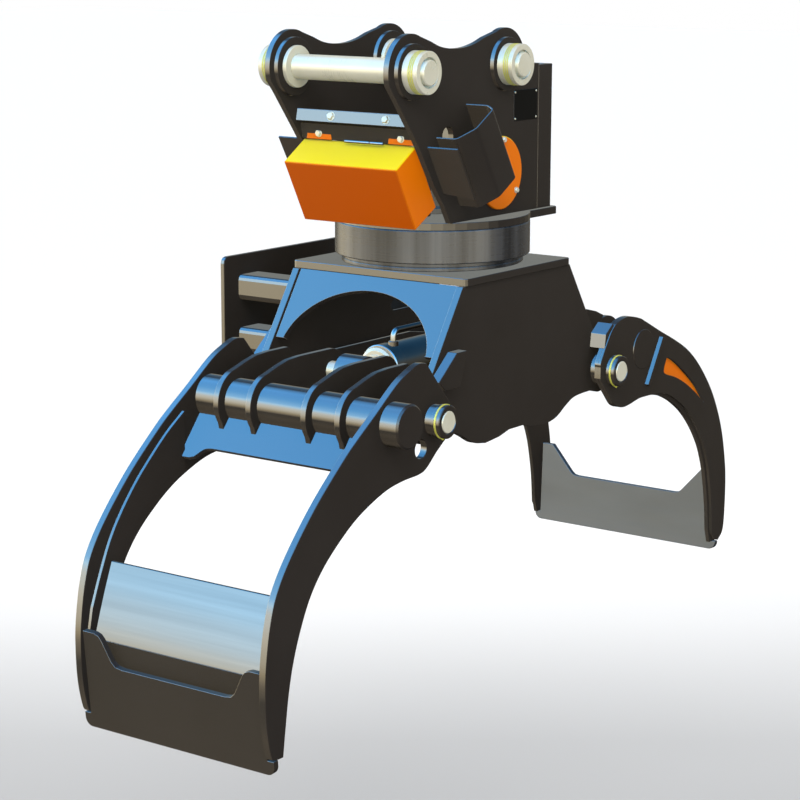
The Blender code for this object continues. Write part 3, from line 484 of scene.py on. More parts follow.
class Shop:
    """Makes meshes and hands each one to the body it moves with."""

    materials: dict[str, bpy.types.Material] = {}

    @classmethod
    def mix_finishes(cls, finishes: Iterable[Finish]) -> None:
        """Build each finish once.

        Args:
            finishes: the finishes that this object uses.
        """
        for finish in finishes:
            cls.materials[finish.name] = finish.make()

    @classmethod
    def hand_over(
        cls,
        name: str,
        shape: bmesh.types.BMesh,
        finish: Finish,
        body: str,
        stands_for: Sequence[str] = (),
        edge: float = 0.0,
        smooth: float = 32.0,
    ) -> bpy.types.Object:
        """Turn a bmesh into a dressed piece that rides on a body.

        Args:
            name: the piece's name.
            shape: its mesh, in the row's frame. It is freed here.
            finish: its finish.
            body: the CAD body that it moves with.
            stands_for: CAD nodes that it replaces.
            edge: width of the broken edge in metres, or nought for none.
            smooth: the angle in degrees above which an edge stays sharp.

        Returns:
            The new object.
        """
        bmesh.ops.recalc_face_normals(shape, faces=shape.faces)
        mesh = bpy.data.meshes.new(name)
        shape.to_mesh(mesh)
        shape.free()
        mesh.polygons.foreach_set("use_smooth", [True] * len(mesh.polygons))
        mesh.set_sharp_from_angle(angle=math.radians(smooth))
        mesh.materials.append(cls.materials[finish.name])
        made = bpy.data.objects.new(name, mesh)
        bpy.context.scene.collection.objects.link(made)
        if edge > 0:
            step = made.modifiers.new("broken edge", "BEVEL")
            step.width = edge
            step.segments = EDGE_FACETS
            step.limit_method = "ANGLE"
            step.angle_limit = math.radians(smooth)
            step.harden_normals = True
        # a piece mirrors the studio and not its neighbours, so plates keep their even tone
        made.visible_glossy = False
        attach(made, body)
        if stands_for:
            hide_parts(*stands_for)
        LOG.info("%s on %s, %s", name, body, finish.name)
        return made

    @staticmethod
    def extrude(shape: bmesh.types.BMesh, ring: Sequence[Vector], shift: Vector) -> None:
        """Add a closed solid between a flat ring of points and the same ring moved.

        Args:
            shape: the mesh that takes it.
            ring: the outline's points.
            shift: the way to the other face.
        """
        low = [shape.verts.new(p) for p in ring]
        high = [shape.verts.new(p + shift) for p in ring]
        shape.faces.new(low)
        shape.faces.new(list(reversed(high)))
        for i in range(len(low)):
            j = (i + 1) % len(low)
            shape.faces.new((low[i], high[i], high[j], low[j]))

    @staticmethod
    def circle(
        shape: bmesh.types.BMesh, centre: Vector, ways: tuple[Vector, Vector], radius: float, steps: int
    ) -> list[bmesh.types.BMVert]:
        """Add a ring of points.

        Args:
            shape: the mesh that takes it.
            centre: its centre.
            ways: two unit vectors in its plane.
            radius: its radius.
            steps: how many points it has.

        Returns:
            The points, in order.
        """
        points = []
        for k in range(steps):
            turn = 2 * math.pi * k / steps
            way = ways[0] * math.cos(turn) + ways[1] * math.sin(turn)
            points.append(shape.verts.new(centre + way * radius))
        return points

    @staticmethod
    def band(
        shape: bmesh.types.BMesh, here: Sequence[bmesh.types.BMVert], there: Sequence[bmesh.types.BMVert]
    ) -> None:
        """Add the faces between two rings of as many points.

        Args:
            shape: the mesh that takes them.
            here: the first ring.
            there: the second ring.
        """
        for k in range(len(here)):
            m = (k + 1) % len(here)
            shape.faces.new((here[k], here[m], there[m], there[k]))

    @staticmethod
    def add_turned(
        shape: bmesh.types.BMesh,
        profile: Sequence[Point],
        origin: Vector,
        axis: Vector,
        steps: int = 96,
    ) -> None:
        """Add a turned solid.

        Args:
            shape: the mesh that takes it.
            profile: radius and height along the axis, in order. Its last point joins its first.
            origin: where height nought is.
            axis: the unit vector of the axis.
            steps: facets round the axis.
        """
        side = AXIS_X if abs(axis.x) < 0.5 else AXIS_Y
        other = axis.cross(side).normalized()
        rings: list[list[bmesh.types.BMVert] | None] = []
        for radius, height in profile:
            if radius < 1e-6:
                rings.append(None)
                continue
            centre = origin + axis * height
            rings.append(Shop.circle(shape, centre, (side, other), radius, steps))
        for i, here in enumerate(rings):
            there = rings[(i + 1) % len(rings)]
            if here is None and there is None:
                continue
            if here is None or there is None:
                shape.faces.new(here or there)
                continue
            Shop.band(shape, here, there)

    @staticmethod
    def add_tube(
        shape: bmesh.types.BMesh,
        path: Sequence[Vector],
        radii: Sequence[float],
        steps: int = 12,
    ) -> None:
        """Add a round bar along a path.

        Args:
            shape: the mesh that takes it.
            path: its points.
            radii: the radius at each point.
            steps: facets round the bar.
        """
        rings = []
        normal: Vector | None = None
        for i, spot in enumerate(path):
            before = path[max(i - 1, 0)]
            after = path[min(i + 1, len(path) - 1)]
            ahead = (after - before).normalized()
            if normal is None:
                normal = ahead.orthogonal().normalized()
            normal = (normal - ahead * normal.dot(ahead)).normalized()
            other = ahead.cross(normal)
            rings.append(Shop.circle(shape, spot, (normal, other), radii[i], steps))
        for here, there in zip(rings, rings[1:]):
            Shop.band(shape, here, there)
        shape.faces.new(rings[0])
        shape.faces.new(list(reversed(rings[-1])))

    @classmethod
    def plate(
        cls,
        name: str,
        outline: Sequence[Point],
        y_a: float,
        y_b: float,
        finish: Finish,
        body: str,
        stands_for: Sequence[str] = (),
        edge: float = 0.0015,
        holes: Sequence[Sequence[Point]] = (),
    ) -> bpy.types.Object:
        """Make a flame-cut plate that lies across the pins.

        Args:
            name: the piece's name.
            outline: its X and Z points.
            y_a: one face.
            y_b: the other face.
            finish: its finish.
            body: the body that it moves with.
            stands_for: CAD nodes that it replaces.
            edge: width of the broken edge.
            holes: outlines that are cut through it.

        Returns:
            The new object.
        """
        shape = bmesh.new()
        cls.extrude(shape, [at(x, y_a, z) for x, z in outline], AXIS_Y * (y_b - y_a))
        made = cls.hand_over(name, shape, finish, body, stands_for, edge)
        for number, hole in enumerate(holes):
            cutter = bmesh.new()
            reach = 0.02 if y_b > y_a else -0.02
            cls.extrude(cutter, [at(x, y_a - reach, z) for x, z in hole], AXIS_Y * (y_b - y_a + 2 * reach))
            bmesh.ops.recalc_face_normals(cutter, faces=cutter.faces)
            mesh = bpy.data.meshes.new(name + "_hole")
            cutter.to_mesh(mesh)
            cutter.free()
            tool = bpy.data.objects.new(name + "_hole", mesh)
            bpy.context.scene.collection.objects.link(tool)
            step = made.modifiers.new("hole " + str(number), "BOOLEAN")
            step.operation = "DIFFERENCE"
            step.solver = "EXACT"
            step.object = tool
            made.modifiers.move(len(made.modifiers) - 1, 0)
            cls.bake(made, step.name)
            bpy.data.objects.remove(tool, do_unlink=True)
        return made

    @staticmethod
    def bake(target: bpy.types.Object, modifier: str) -> None:
        """Apply one modifier to the mesh.

        Args:
            target: the object.
            modifier: the modifier's name.
        """
        kept = [m.name for m in target.modifiers if m.name != modifier]
        shown = {name: target.modifiers[name].show_viewport for name in kept}
        for name in kept:
            target.modifiers[name].show_viewport = False
        bpy.context.view_layer.update()
        deps = bpy.context.evaluated_depsgraph_get()
        mesh = bpy.data.meshes.new_from_object(target.evaluated_get(deps))
        old = target.data
        target.data = mesh
        bpy.data.meshes.remove(old)
        mesh.polygons.foreach_set("use_smooth", [True] * len(mesh.polygons))
        mesh.set_sharp_from_angle(angle=math.radians(32))
        target.modifiers.remove(target.modifiers[modifier])
        for name in kept:
            target.modifiers[name].show_viewport = shown[name]

    @classmethod
    def turned(
        cls,
        name: str,
        profile: Sequence[Point],
        origin: Vector,
        axis: Vector,
        finish: Finish,
        body: str,
        stands_for: Sequence[str] = (),
        edge: float = 0.0,
        steps: int = 96,
    ) -> bpy.types.Object:
        """Make a turned piece.

        Args:
            name: the piece's name.
            profile: radius and height points, in order.
            origin: where height nought is.
            axis: the unit vector of its axis.
            finish: its finish.
            body: the body that it moves with.
            stands_for: CAD nodes that it replaces.
            edge: width of the broken edges.
            steps: facets round the axis.

        Returns:
            The new object.
        """
        shape = bmesh.new()
        cls.add_turned(shape, profile, origin, axis, steps)
        return cls.hand_over(name, shape, finish, body, stands_for, edge)

    @classmethod
    def bolts(
        cls,
        name: str,
        spots: Sequence[Vector],
        axis: Vector,
        size: float,
        finish: Finish,
        body: str,
    ) -> bpy.types.Object:
        """Make a set of hexagon bolt heads on washers.

        Args:
            name: the set's name.
            spots: where each washer sits.
            axis: the way the heads stand.
            size: the thread's diameter.
            finish: their finish.
            body: the body that they move with.

        Returns:
            One object with all the heads.
        """
        shape = bmesh.new()
        for spot in spots:
            cls.add_turned(
                shape, [(0, 0), (size * 1.05, 0), (size * 1.05, size * 0.16), (0, size * 0.16)], spot, axis,
                24
            )
            flats = size * 0.87
            head = [
                (0, size * 0.14), (flats, size * 0.14), (flats, size * 0.66), (flats * 0.90, size * 0.78),
                (0, size * 0.78)
            ]
            cls.add_turned(shape, head, spot, axis, 6)
        return cls.hand_over(name, shape, finish, body, (), 0.0006, 40)


def arc(cx: float, cz: float, radius: float, start: float, end: float, count: int) -> list[Point]:
    """Points on an arc, angles in degrees.

    Args:
        cx: centre.
        cz: centre.
        radius: radius.
        start: first angle.
        end: last angle.
        count: number of steps.

    Returns:
        The points, both ends among them.
    """
    turns = [math.radians(start + (end - start) * k / count) for k in range(count + 1)]
    return [(cx + radius * math.cos(t), cz + radius * math.sin(t)) for t in turns]


def flow(knots: Sequence[Point], steps: int = 8) -> list[Point]:
    """A smooth line through given points.

    Args:
        knots: the points.
        steps: pieces between two of them.

    Returns:
        The line's points.
    """
    line: list[Point] = []
    for i in range(len(knots) - 1):
        p1 = Vector(knots[i])
        p2 = Vector(knots[i + 1])
        p0 = Vector(knots[i - 1]) if i > 0 else p1 * 2 - p2
        p3 = Vector(knots[i + 2]) if i + 2 < len(knots) else p2 * 2 - p1
        for k in range(steps):
            t = k / steps
            spot = 0.5 * (
                p1 * 2
                + (p2 - p0) * t
                + (p0 * 2 - p1 * 5 + p2 * 4 - p3) * t * t
                + (p1 * 3 - p0 - p2 * 3 + p3) * t * t * t
            )
            line.append((spot.x, spot.y))
    line.append((knots[-1][0], knots[-1][1]))
    return line


def fold(corners: Sequence[Point], radius: float, steps: int = 6) -> list[Point]:
    """Round the inner corners of an open line, as a press brake does.

    Args:
        corners: the line's corners.
        radius: how far from each corner the bend starts.
        steps: facets in each bend.

    Returns:
        The rounded line.
    """
    line: list[Point] = [corners[0]]
    for i in range(1, len(corners) - 1):
        here = Vector(corners[i])
        before = here + (Vector(corners[i - 1]) - here).normalized() * radius
        after = here + (Vector(corners[i + 1]) - here).normalized() * radius
        for k in range(steps + 1):
            t = k / steps
            spot = before * (1 - t) ** 2 + here * (2 * t * (1 - t)) + after * t * t
            line.append((spot.x, spot.y))
    line.append(corners[-1])
    return line


def pin_line(radius: float, half: float, chamfer: float) -> list[Point]:
    """The profile of a pin with both ends chamfered.

    Args:
        radius: the pin's radius.
        half: half its length.
        chamfer: the width of the chamfers.

    Returns:
        Radius and height points, in order.
    """
    rim = radius - chamfer
    start = [(0.0, -half), (rim, -half), (radius, chamfer - half)]
    return start + [(r, -z) for r, z in reversed(start)]


def mirrored(points: Sequence[Point]) -> list[Point]:
    """The same outline on the other side of the slew axis."""
    return [(-x, z) for x, z in reversed(points)]


@dataclass
class HangerHead:
    """The part that hangs on the machine: ears, pins, covers, hoods and drives."""

    lobe_r: float = 0.117
    base_top: float = 0.161
    rear_x: float = 0.262
    shoulder_z: float = 0.645
    bush_r: float = 0.067
    bush_in: float = 0.198
    bush_out: float = 0.3125
    pin_r: float = 0.040
    groove_places: tuple[float, ...] = (0.280, 0.287, 0.294)
    guard: tuple[float, float, float] = (0.035, 0.300, 0.120)
    body: str = "head"

    def ear_outline(self) -> list[Point]:
        """The flame-cut outline of one ear."""
        line = [
            (-0.240, self.base_top + GAP), (self.rear_x, self.base_top + GAP),
            (self.rear_x, self.shoulder_z)
        ]
        line += [(STICK_PIN_X + self.lobe_r + 0.012, self.shoulder_z + 0.002)]
        line += arc(STICK_PIN_X, PIN_Z, self.lobe_r, 12, 116, 32)
        line += flow(
            [
                (-0.055, 0.742), (-0.110, 0.725), (-0.175, 0.7145), (-0.240, 0.7145), (-0.300, 0.723),
                (-0.352, 0.741)
            ]
        )
        line += arc(LINK_PIN_X, PIN_Z, self.lobe_r, 66, 200, 40)
        line += flow(
            [
                (-0.533, 0.572), (-0.472, 0.494), (-0.415, 0.420), (-0.368, 0.348), (-0.327, 0.285),
                (-0.276, 0.222)
            ]
        )
        return line

    def ears(self) -> None:
        """Both ears with their welded boss rings."""
        slot_line = arc(-0.2585, 0.4415, 0.0295, 0, 180, 20) + arc(-0.2585, 0.3915, 0.0295, 180, 360, 20)
        for side in Side:
            inner = side.value * (EAR_OUT - EAR_THICK)
            outer = side.value * EAR_OUT
            Shop.plate(
                "ear_plate_" + side.tag, self.ear_outline(), inner, outer, SPRAYED_ENAMEL, self.body,
                ["ear_" + side.tag], 0.0018, [slot_line],
            )
            for ring in Ring:
                spot = at(ring.value, 0, PIN_Z)
                for label, radius, start, stop in (
                    ("outer", 0.087, EAR_OUT - 0.002, EAR_OUT + 0.014),
                    ("inner", 0.093, EAR_OUT - EAR_THICK + 0.002, EAR_OUT - EAR_THICK - 0.014),
                ):
                    profile = [(self.bush_r, start), (radius, start), (radius, stop), (self.bush_r, stop)]
                    Shop.turned(
                        "ear_ring_%s_%s_%s" % (ring.name.lower(), label, side.tag), profile, spot,
                        AXIS_Y * side.value, SPRAYED_ENAMEL, self.body, (), 0.0016,
                    )

    def bushes(self) -> None:
        """The zinc bushes, their yellow rings and the two pins."""
        for ring in Ring:
            spot = at(ring.value, 0, PIN_Z)
            tag = ring.name.lower()
            for side in Side:
                axis = AXIS_Y * side.value
                r = self.bush_r
                profile = [
                    (self.pin_r + 0.0006, self.bush_in), (r - 0.002, self.bush_in),
                    (r, self.bush_in + 0.002)
                ]
                for edge_y in self.groove_places:
                    profile += [
                        (r, edge_y - 0.003), (r - 0.002, edge_y - 0.0026), (r - 0.002, edge_y + 0.0026),
                        (r, edge_y + 0.003)
                    ]
                profile += [
                    (r, self.bush_out - 0.0075), (r - 0.001, self.bush_out - 0.007),
                    (r - 0.001, self.bush_out - 0.0055),
                    (r, self.bush_out - 0.005), (r, self.bush_out - 0.0015), (r - 0.0015, self.bush_out),
                    (0.0485, self.bush_out), (0.0475, self.bush_out - 0.001), (0.0475, self.bush_out - 0.012),
                    (self.pin_r + 0.0006, self.bush_out - 0.012),
                ]
                Shop.turned(
                    "%s_bush_turned_%s" % (tag, side.tag), profile, spot, axis, ZINC_ON_TURNED_STEEL,
                    self.body,
                    ["%s_bush_%s" % (tag, side.tag)],
                )
                for number, place in enumerate(self.groove_places):
                    ring_line = [
                        (r - 0.002, place - 0.0014), (r + 0.0004, place - 0.0012),
                        (r + 0.0004, place + 0.0012), (r - 0.002, place + 0.0014)
                    ]
                    Shop.turned(
                        "%s_seal_ring_%s_%d" % (tag, side.tag, number), ring_line, spot, axis,
                        YELLOW_CHROMATE, self.body
                    )
            profile = pin_line(self.pin_r, 0.320, 0.003)
            Shop.turned(
                tag + "_pin_ground", profile, spot, AXIS_Y, ZINC_ON_TURNED_STEEL, self.body, [tag + "_pin"]
            )

    def hoods(self) -> None:
        """The bent sheet hoods on both ears, with rounded folds."""
        slide = Vector((0.505, 0, -0.863)).normalized()
        back = Vector((slide.z, 0, -slide.x))
        corner = at(-0.174, 0, 0.527)
        wall = 0.005
        for side in Side:
            y0 = EAR_OUT + GAP
            outer = fold(
                [(-0.020, y0), (-0.020, 0.327), (0, 0.360), (0.108, 0.360), (0.172, 0.321), (0.172, y0)],
                0.012
            )
            inner = fold(
                [
                    (0.172 - wall, y0), (0.172 - wall, 0.318), (0.106, 0.355), (0.003, 0.355),
                    (-0.015, 0.3255), (-0.015, y0)
                ], 0.008
            )
            shape = bmesh.new()
            ring = [corner + back * e + AXIS_Y * (y * side.value) for e, y in outer + inner]
            Shop.extrude(shape, ring, slide * 0.262)
            Shop.hand_over(
                "bent_hood_" + side.tag, shape, SPRAYED_ENAMEL, self.body, ["hood_" + side.tag], 0.0008
            )

    def guards(self) -> None:
        """The round orange guards with their three bolts."""
        x, z, r = self.guard
        for side in Side:
            spot = at(x, side.value * (EAR_OUT + GAP), z)
            profile = [(0, 0), (r - 0.001, 0), (r, 0.001), (r, 0.006), (r - 0.002, 0.008), (0, 0.008)]
            Shop.turned(
                "guard_pressing_" + side.tag, profile, spot, AXIS_Y * side.value, ORANGE_ENAMEL, self.body,
                ["guard_disc_" + side.tag],
            )
            spots = []
            for turn in (84, 204, -36):
                a = math.radians(turn)
                spots.append(
                    at(
                        x + (r - 0.012) * math.cos(a), side.value * (EAR_OUT + 0.0083),
                        z + (r - 0.012) * math.sin(a)
                    )
                )
            Shop.bolts(
                "guard_bolts_" + side.tag, spots, AXIS_Y * side.value, 0.010, ZINC_ON_TURNED_STEEL,
                self.body
            )

    def drives(self) -> None:
        """The two slew motors, the rotary manifold and the base plate's bolts."""
        for side in Side:
            spot = at(0.135, side.value * 0.125, 0)
            t = self.base_top
            profile = [
                (0, t + GAP), (0.075, t + GAP), (0.075, t + 0.018), (0.073, t + 0.020), (0.058, t + 0.026),
                (0.056, t + 0.030),
                (0.056, 0.326), (0.054, 0.332), (0.050, 0.338), (0.050, 0.386), (0.047, 0.392),
                (0.044, 0.398), (0, 0.398),
            ]
            Shop.turned(
                "slew_motor_body_" + side.tag, profile, spot, AXIS_Z, PAINTED_CASTING, self.body,
                ["slew_motor_" + side.tag], 0.0008,
            )
            turns = [math.radians(45 + 90 * k) for k in range(4)]
            spots = [spot + Vector((0.066 * math.cos(a), 0.066 * math.sin(a), t + 0.020)) for a in turns]
            Shop.bolts("slew_motor_bolts_" + side.tag, spots, AXIS_Z, 0.012, ZINC_ON_TURNED_STEEL, self.body)
        spot = at(0, 0, 0)
        r = 0.070
        profile = [(0, -0.060), (r - 0.004, -0.060), (r, -0.056)]
        for z in (-0.030, 0.010, 0.050, 0.090):
            profile += [(r, z), (r - 0.003, z + 0.002), (r - 0.003, z + 0.010), (r, z + 0.012)]
        profile += [
            (r, 0.1613), (0.098, 0.1613), (0.098, 0.179), (0.062, 0.183), (0.062, 0.288), (0.060, 0.290),
            (0, 0.290)
        ]
        Shop.turned(
            "rotary_manifold_turned", profile, spot, AXIS_Z, TURNED_RING_STEEL, self.body,
            ["rotary_manifold"], 0.0006
        )

    def trims(self) -> None:
        """The empty type plate, the cover's fixings and the bracket's bolts."""
        shape = bmesh.new()
        ring = [
            at(x, -EAR_OUT - 0.0002, z) for x,
            z in ((0.114, 0.463), (0.252, 0.463), (0.252, 0.563), (0.114, 0.563))
        ]
        Shop.extrude(shape, ring, AXIS_Y * -0.0015)
        Shop.hand_over("bare_type_plate", shape, DARK_ANODISED, self.body)
        spots = [at(x, -EAR_OUT - 0.0017, z) for x in (0.121, 0.245) for z in (0.470, 0.556)]
        shape = bmesh.new()
        for spot in spots:
            Shop.add_turned(
                shape, [(0, 0), (0.0035, 0), (0.003, 0.0014), (0.0015, 0.002), (0, 0.002)], spot, -AXIS_Y,
                16
            )
        Shop.hand_over("type_plate_rivets", shape, ZINC_ON_TURNED_STEEL, self.body)

        # two folded ears on the cover's upper rear edge, bolted to the bracket
        up = Vector((0.082, 0, 0.997)).normalized()
        for number, y in enumerate((-0.174, 0.152)):
            shape = bmesh.new()
            foot = at(-0.4115, y, 0.421)
            ring = [
                foot + AXIS_Y * -0.050, foot + AXIS_Y * 0.050, foot + AXIS_Y * 0.046 + up * 0.040,
                foot + AXIS_Y * -0.046 + up * 0.040
            ]
            Shop.extrude(shape, ring, Vector((-0.004, 0, 0)))
            Shop.hand_over("cover_ear_%d" % number, shape, ORANGE_ENAMEL, self.body, (), 0.001)
            Shop.bolts(
                "cover_bolt_%d" % number, [foot + up * 0.019 + Vector((-0.0042, 0, 0))], -AXIS_X, 0.012,
                ZINC_ON_TURNED_STEEL, self.body
            )
        tilt = Vector((-0.93, 0, 0.36)).normalized()
        spots = [at(-0.441, y, 0.4985) for y in (-0.136, 0.081)]
        Shop.bolts("bracket_bolts", spots, tilt, 0.014, ZINC_ON_TURNED_STEEL, self.body)
        shape = bmesh.new()
        for y0, y1 in ((-0.112, -0.062), (-0.058, 0.039)):
            path = [at(-0.4245, y0, 0.4215), at(-0.4245, y1, 0.4215)]
            Shop.add_tube(shape, path, [0.0045, 0.0045], 16)
        Shop.hand_over("cover_hinge_pin", shape, DRAWN_PIPE, self.body)

    def build(self) -> None:
        """Build and dress the whole head."""
        self.ears()
        self.bushes()
        self.hoods()
        self.guards()
        self.drives()
        self.trims()


@dataclass
class SlewBearing:
    """The two rings that the frame turns on."""

    outer_r: float = 0.325
    bore_r: float = 0.255
    collar_r: float = 0.303
    low_z: float = 0.027
    top_z: float = 0.1357

    def build(self) -> None:
        """Build both rings."""
        spot = at(0, 0, 0)
        low = self.low_z
        profile = [
            (self.bore_r, low + GAP), (self.outer_r - 0.003, low + GAP), (self.outer_r, low + 0.003),
            (self.outer_r, self.top_z - 0.003), (self.outer_r - 0.003, self.top_z), (self.bore_r, self.top_z),
        ]
        Shop.turned(
            "slew_outer_ring_turned", profile, spot, AXIS_Z, TURNED_RING_STEEL, "head", ["slew_outer_ring"],
            0.0, 160
        )
        profile = [
            (0.200, GAP), (self.collar_r - 0.002, GAP), (self.collar_r, 0.002), (self.collar_r, 0.011),
            (self.collar_r - 0.002, 0.012), (self.collar_r - 0.002, 0.014), (self.collar_r, 0.015),
            (self.collar_r, low),
            (self.bore_r - 0.001, low), (self.bore_r - 0.001, 0.120), (0.200, 0.120),
        ]
        Shop.turned(
            "slew_inner_ring_turned", profile, spot, AXIS_Z, TURNED_RING_STEEL, "frame",
            ["slew_inner_ring"], 0.0, 160
        )
        turns = [2 * math.pi * k / 24 for k in range(24)]
        spots = [spot + Vector((0.232 * math.cos(a), 0.232 * math.sin(a), 0.120)) for a in turns]
        Shop.bolts("slew_ring_bolts", spots, AXIS_Z, 0.009, ZINC_ON_TURNED_STEEL, "frame")


@dataclass
class SlewFrame:
    """The welded frame that carries both claws."""

    top_thick: float = 0.0245
    slant_top_x: float = 0.314
    slant_low: Point = (0.475, -0.275)
    lobe_r: float = 0.082
    body: str = "frame"

    def side_outline(self) -> list[Point]:
        """The outline of one side plate."""
        half = [(self.slant_top_x, -self.top_thick - GAP), self.slant_low]
        half += flow([(0.500, -0.318), (0.540, -0.335)])
        half += arc(PIVOT_X, PIVOT_Z, self.lobe_r, 52, -96, 30)
        half += flow(
            [
                (0.460, -0.483), (0.400, -0.484), (0.350, -0.490), (0.305, -0.509), (0.245, -0.540),
                (0.178, -0.553)
            ]
        )
        half += flow([(0.100, -0.546), (0.040, -0.532)])
        return half + mirrored(half)

    def side_plates(self) -> None:
        """Side plates, their doublers, stop pads and pivot bosses."""
        slot_line = arc(0.2185, -0.2165, 0.0185, 90, 270, 16) + arc(0.3015, -0.2165, 0.0185, -90, 90, 16)
        doubler = [(0.300, -0.322), (0.440, -0.345)] + arc(PIVOT_X, PIVOT_Z, 0.070, 45, -100, 24)
        doubler += [(0.400, -0.468), (0.250, -0.500)]
        doubler = doubler + mirrored(doubler)
        left_stop = [(-0.394, -0.220), (-0.490, -0.299), (-0.453, -0.332), (-0.373, -0.332), (-0.338, -0.220)]
        right_stop = [(0.502, -0.247), (0.458, -0.279), (0.451, -0.329), (0.483, -0.283), (0.512, -0.256)]
        for side in Side:
            inner = side.value * (SIDE_OUT - SIDE_THICK)
            outer = side.value * SIDE_OUT
            holes = [slot_line] if side is Side.FAR else []
            Shop.plate(
                "side_plate_cut_" + side.tag, self.side_outline(), inner, outer, SPRAYED_ENAMEL, self.body,
                ["side_plate_" + side.tag], 0.002, holes,
            )
            if holes:
                Shop.plate(
                    "hose_slot_seal", slot_line, inner + side.value * 0.004, outer - side.value * 0.004,
                    MOULDED_RUBBER, self.body
                )
            Shop.plate(
                "side_doubler_" + side.tag, doubler, inner, inner - side.value * 0.012, SPRAYED_ENAMEL,
                self.body
            )
            for end, stop in ((End.LEFT, left_stop), (End.RIGHT, right_stop)):
                Shop.plate(
                    "stop_pad_%s_%s" % (end.tag, side.tag), stop, outer, side.value * end.face,
                    SPRAYED_ENAMEL, self.body, (), 0.002
                )
            for end in End:
                spot = at(end.value * PIVOT_X, 0, PIVOT_Z)
                stop_y = end.face - TINE_THICK - GAP
                profile = [
                    (0.0353, SIDE_OUT), (0.0565, SIDE_OUT), (0.0565, stop_y - 0.002), (0.0545, stop_y),
                    (0.0353, stop_y)
                ]
                Shop.turned(
                    "pivot_boss_%s_%s" % (end.tag, side.tag), profile, spot, AXIS_Y * side.value,
                    SPRAYED_ENAMEL, self.body
                )

    def arch_plates(self) -> None:
        """The slanted end plates with their elliptical arches."""
        run = Vector(
            (self.slant_low[0] - self.slant_top_x, 0, self.slant_low[1] + self.top_thick)
        ).normalized()
        half = SIDE_OUT - SIDE_THICK - GAP
        for end in End:
            down = Vector((end.value * run.x, 0, run.z))
            outward = Vector((end.value * -run.z, 0, run.x))
            start = at(end.value * self.slant_top_x, 0, -self.top_thick - GAP)
            head_s = 0.010 * outward.z / down.z + GAP
            outline = [(-half, head_s), (half, head_s), (half, 0.245), (0.281, 0.245)]
            for k in range(1, 72):
                turn = math.pi * k / 72
                spot = (0.290 * math.cos(turn), 0.271 - 0.225 * math.sin(turn))
                if spot[1] <= 0.2451:
                    outline.append(spot)
            outline += [(-0.281, 0.245), (-half, 0.245)]
            shape = bmesh.new()
            ring = [start + AXIS_Y * y + down * s + outward * -0.010 for y, s in outline]
            Shop.extrude(shape, ring, outward * -0.020)
            Shop.hand_over(
                "arch_cut_" + end.tag, shape, SPRAYED_ENAMEL, self.body, ["arch_plate_" + end.tag], 0.0016
            )

    def shafts(self) -> None:
        """The claw pivot shafts with their grease points."""
        for end in End:
            spot = at(end.value * PIVOT_X, 0, PIVOT_Z)
            profile = pin_line(0.035, PIVOT_END, 0.002)
            Shop.turned(
                "pivot_shaft_ground_" + end.tag, profile, spot, AXIS_Y, ZINC_ON_TURNED_STEEL, self.body,
                ["pivot_shaft_" + end.tag]
            )
            for side in Side:
                place = at(end.value * PIVOT_X + 0.006, side.value * (PIVOT_END - 0.002), PIVOT_Z + 0.020)
                profile = [(0, 0), (0.0042, 0), (0.0042, 0.0012), (0.0030, 0.0018), (0, 0.0020)]
                Shop.turned(
                    "grease_point_%s_%s" % (end.tag, side.tag), profile, place, AXIS_Y * side.value,
                    DRAWN_PIPE, self.body, (), 0.0, 24
                )

    def build(self) -> None:
        """Build and dress the frame."""
        self.side_plates()
        self.arch_plates()
        self.shafts()


LEFT_OUTER: list[Point] = [
    (-0.557, -0.227), (-0.598, -0.224), (-0.654, -0.243), (-0.715, -0.273), (-0.817, -0.345),
    (-0.905, -0.405),
    (-0.975, -0.457), (-1.110, -0.574), (-1.227, -0.700), (-1.292, -0.794), (-1.322, -0.877),
    (-1.340, -0.970),
    (-1.348, -1.060), (-1.343, -1.185), (-1.322, -1.281), (-1.302, -1.297), (-1.267, -1.297),
]
LEFT_GRIP: list[Point] = [
    (-1.258, -1.231), (-1.239, -1.111), (-1.215, -1.015), (-1.178, -0.920), (-1.134, -0.838),
    (-1.075, -0.768),
    (-1.002, -0.708), (-0.926, -0.658), (-0.850, -0.622), (-0.759, -0.591), (-0.674, -0.578),
    (-0.596, -0.574),
    (-0.554, -0.561), (-0.501, -0.519),
]
RIGHT_OUTER: list[Point] = [
    (0.427, -0.393), (0.432, -0.366), (0.489, -0.283), (0.532, -0.250), (0.601, -0.237), (0.680, -0.252),
    (0.728, -0.272), (0.826, -0.318), (0.942, -0.370), (1.027, -0.415), (1.097, -0.467), (1.160, -0.529),
    (1.216, -0.597), (1.265, -0.677), (1.306, -0.770), (1.334, -0.877), (1.345, -0.957), (1.345, -1.057),
    (1.335, -1.151), (1.299, -1.187), (1.251, -1.187),
]
RIGHT_GRIP: list[Point] = [
    (1.235, -1.137), (1.225, -1.038), (1.205, -0.937), (1.185, -0.869), (1.150, -0.795), (1.094, -0.720),
    (1.022, -0.651), (0.945, -0.600), (0.887, -0.572), (0.837, -0.555), (0.756, -0.541), (0.692, -0.541),
    (0.630, -0.551), (0.580, -0.554), (0.529, -0.539), (0.490, -0.501), (0.427, -0.430),
]
# the outer half of the right tines stands back from the grip edge by a step
RIGHT_STEP: list[Point] = [
    (1.249, -1.150), (1.239, -1.038), (1.219, -0.934), (1.198, -0.863), (1.161, -0.786), (1.103, -0.708),
    (1.030, -0.638), (0.952, -0.587), (0.892, -0.559), (0.840, -0.546), (0.790, -0.5425),
]
WINDOW: list[Point] = [
    (0.880, -0.422), (0.861, -0.461), (0.872, -0.481), (0.949, -0.506), (1.025, -0.542), (1.099, -0.588),
    (1.158, -0.631), (1.114, -0.581), (1.067, -0.538), (0.980, -0.475), (0.919, -0.438),
]
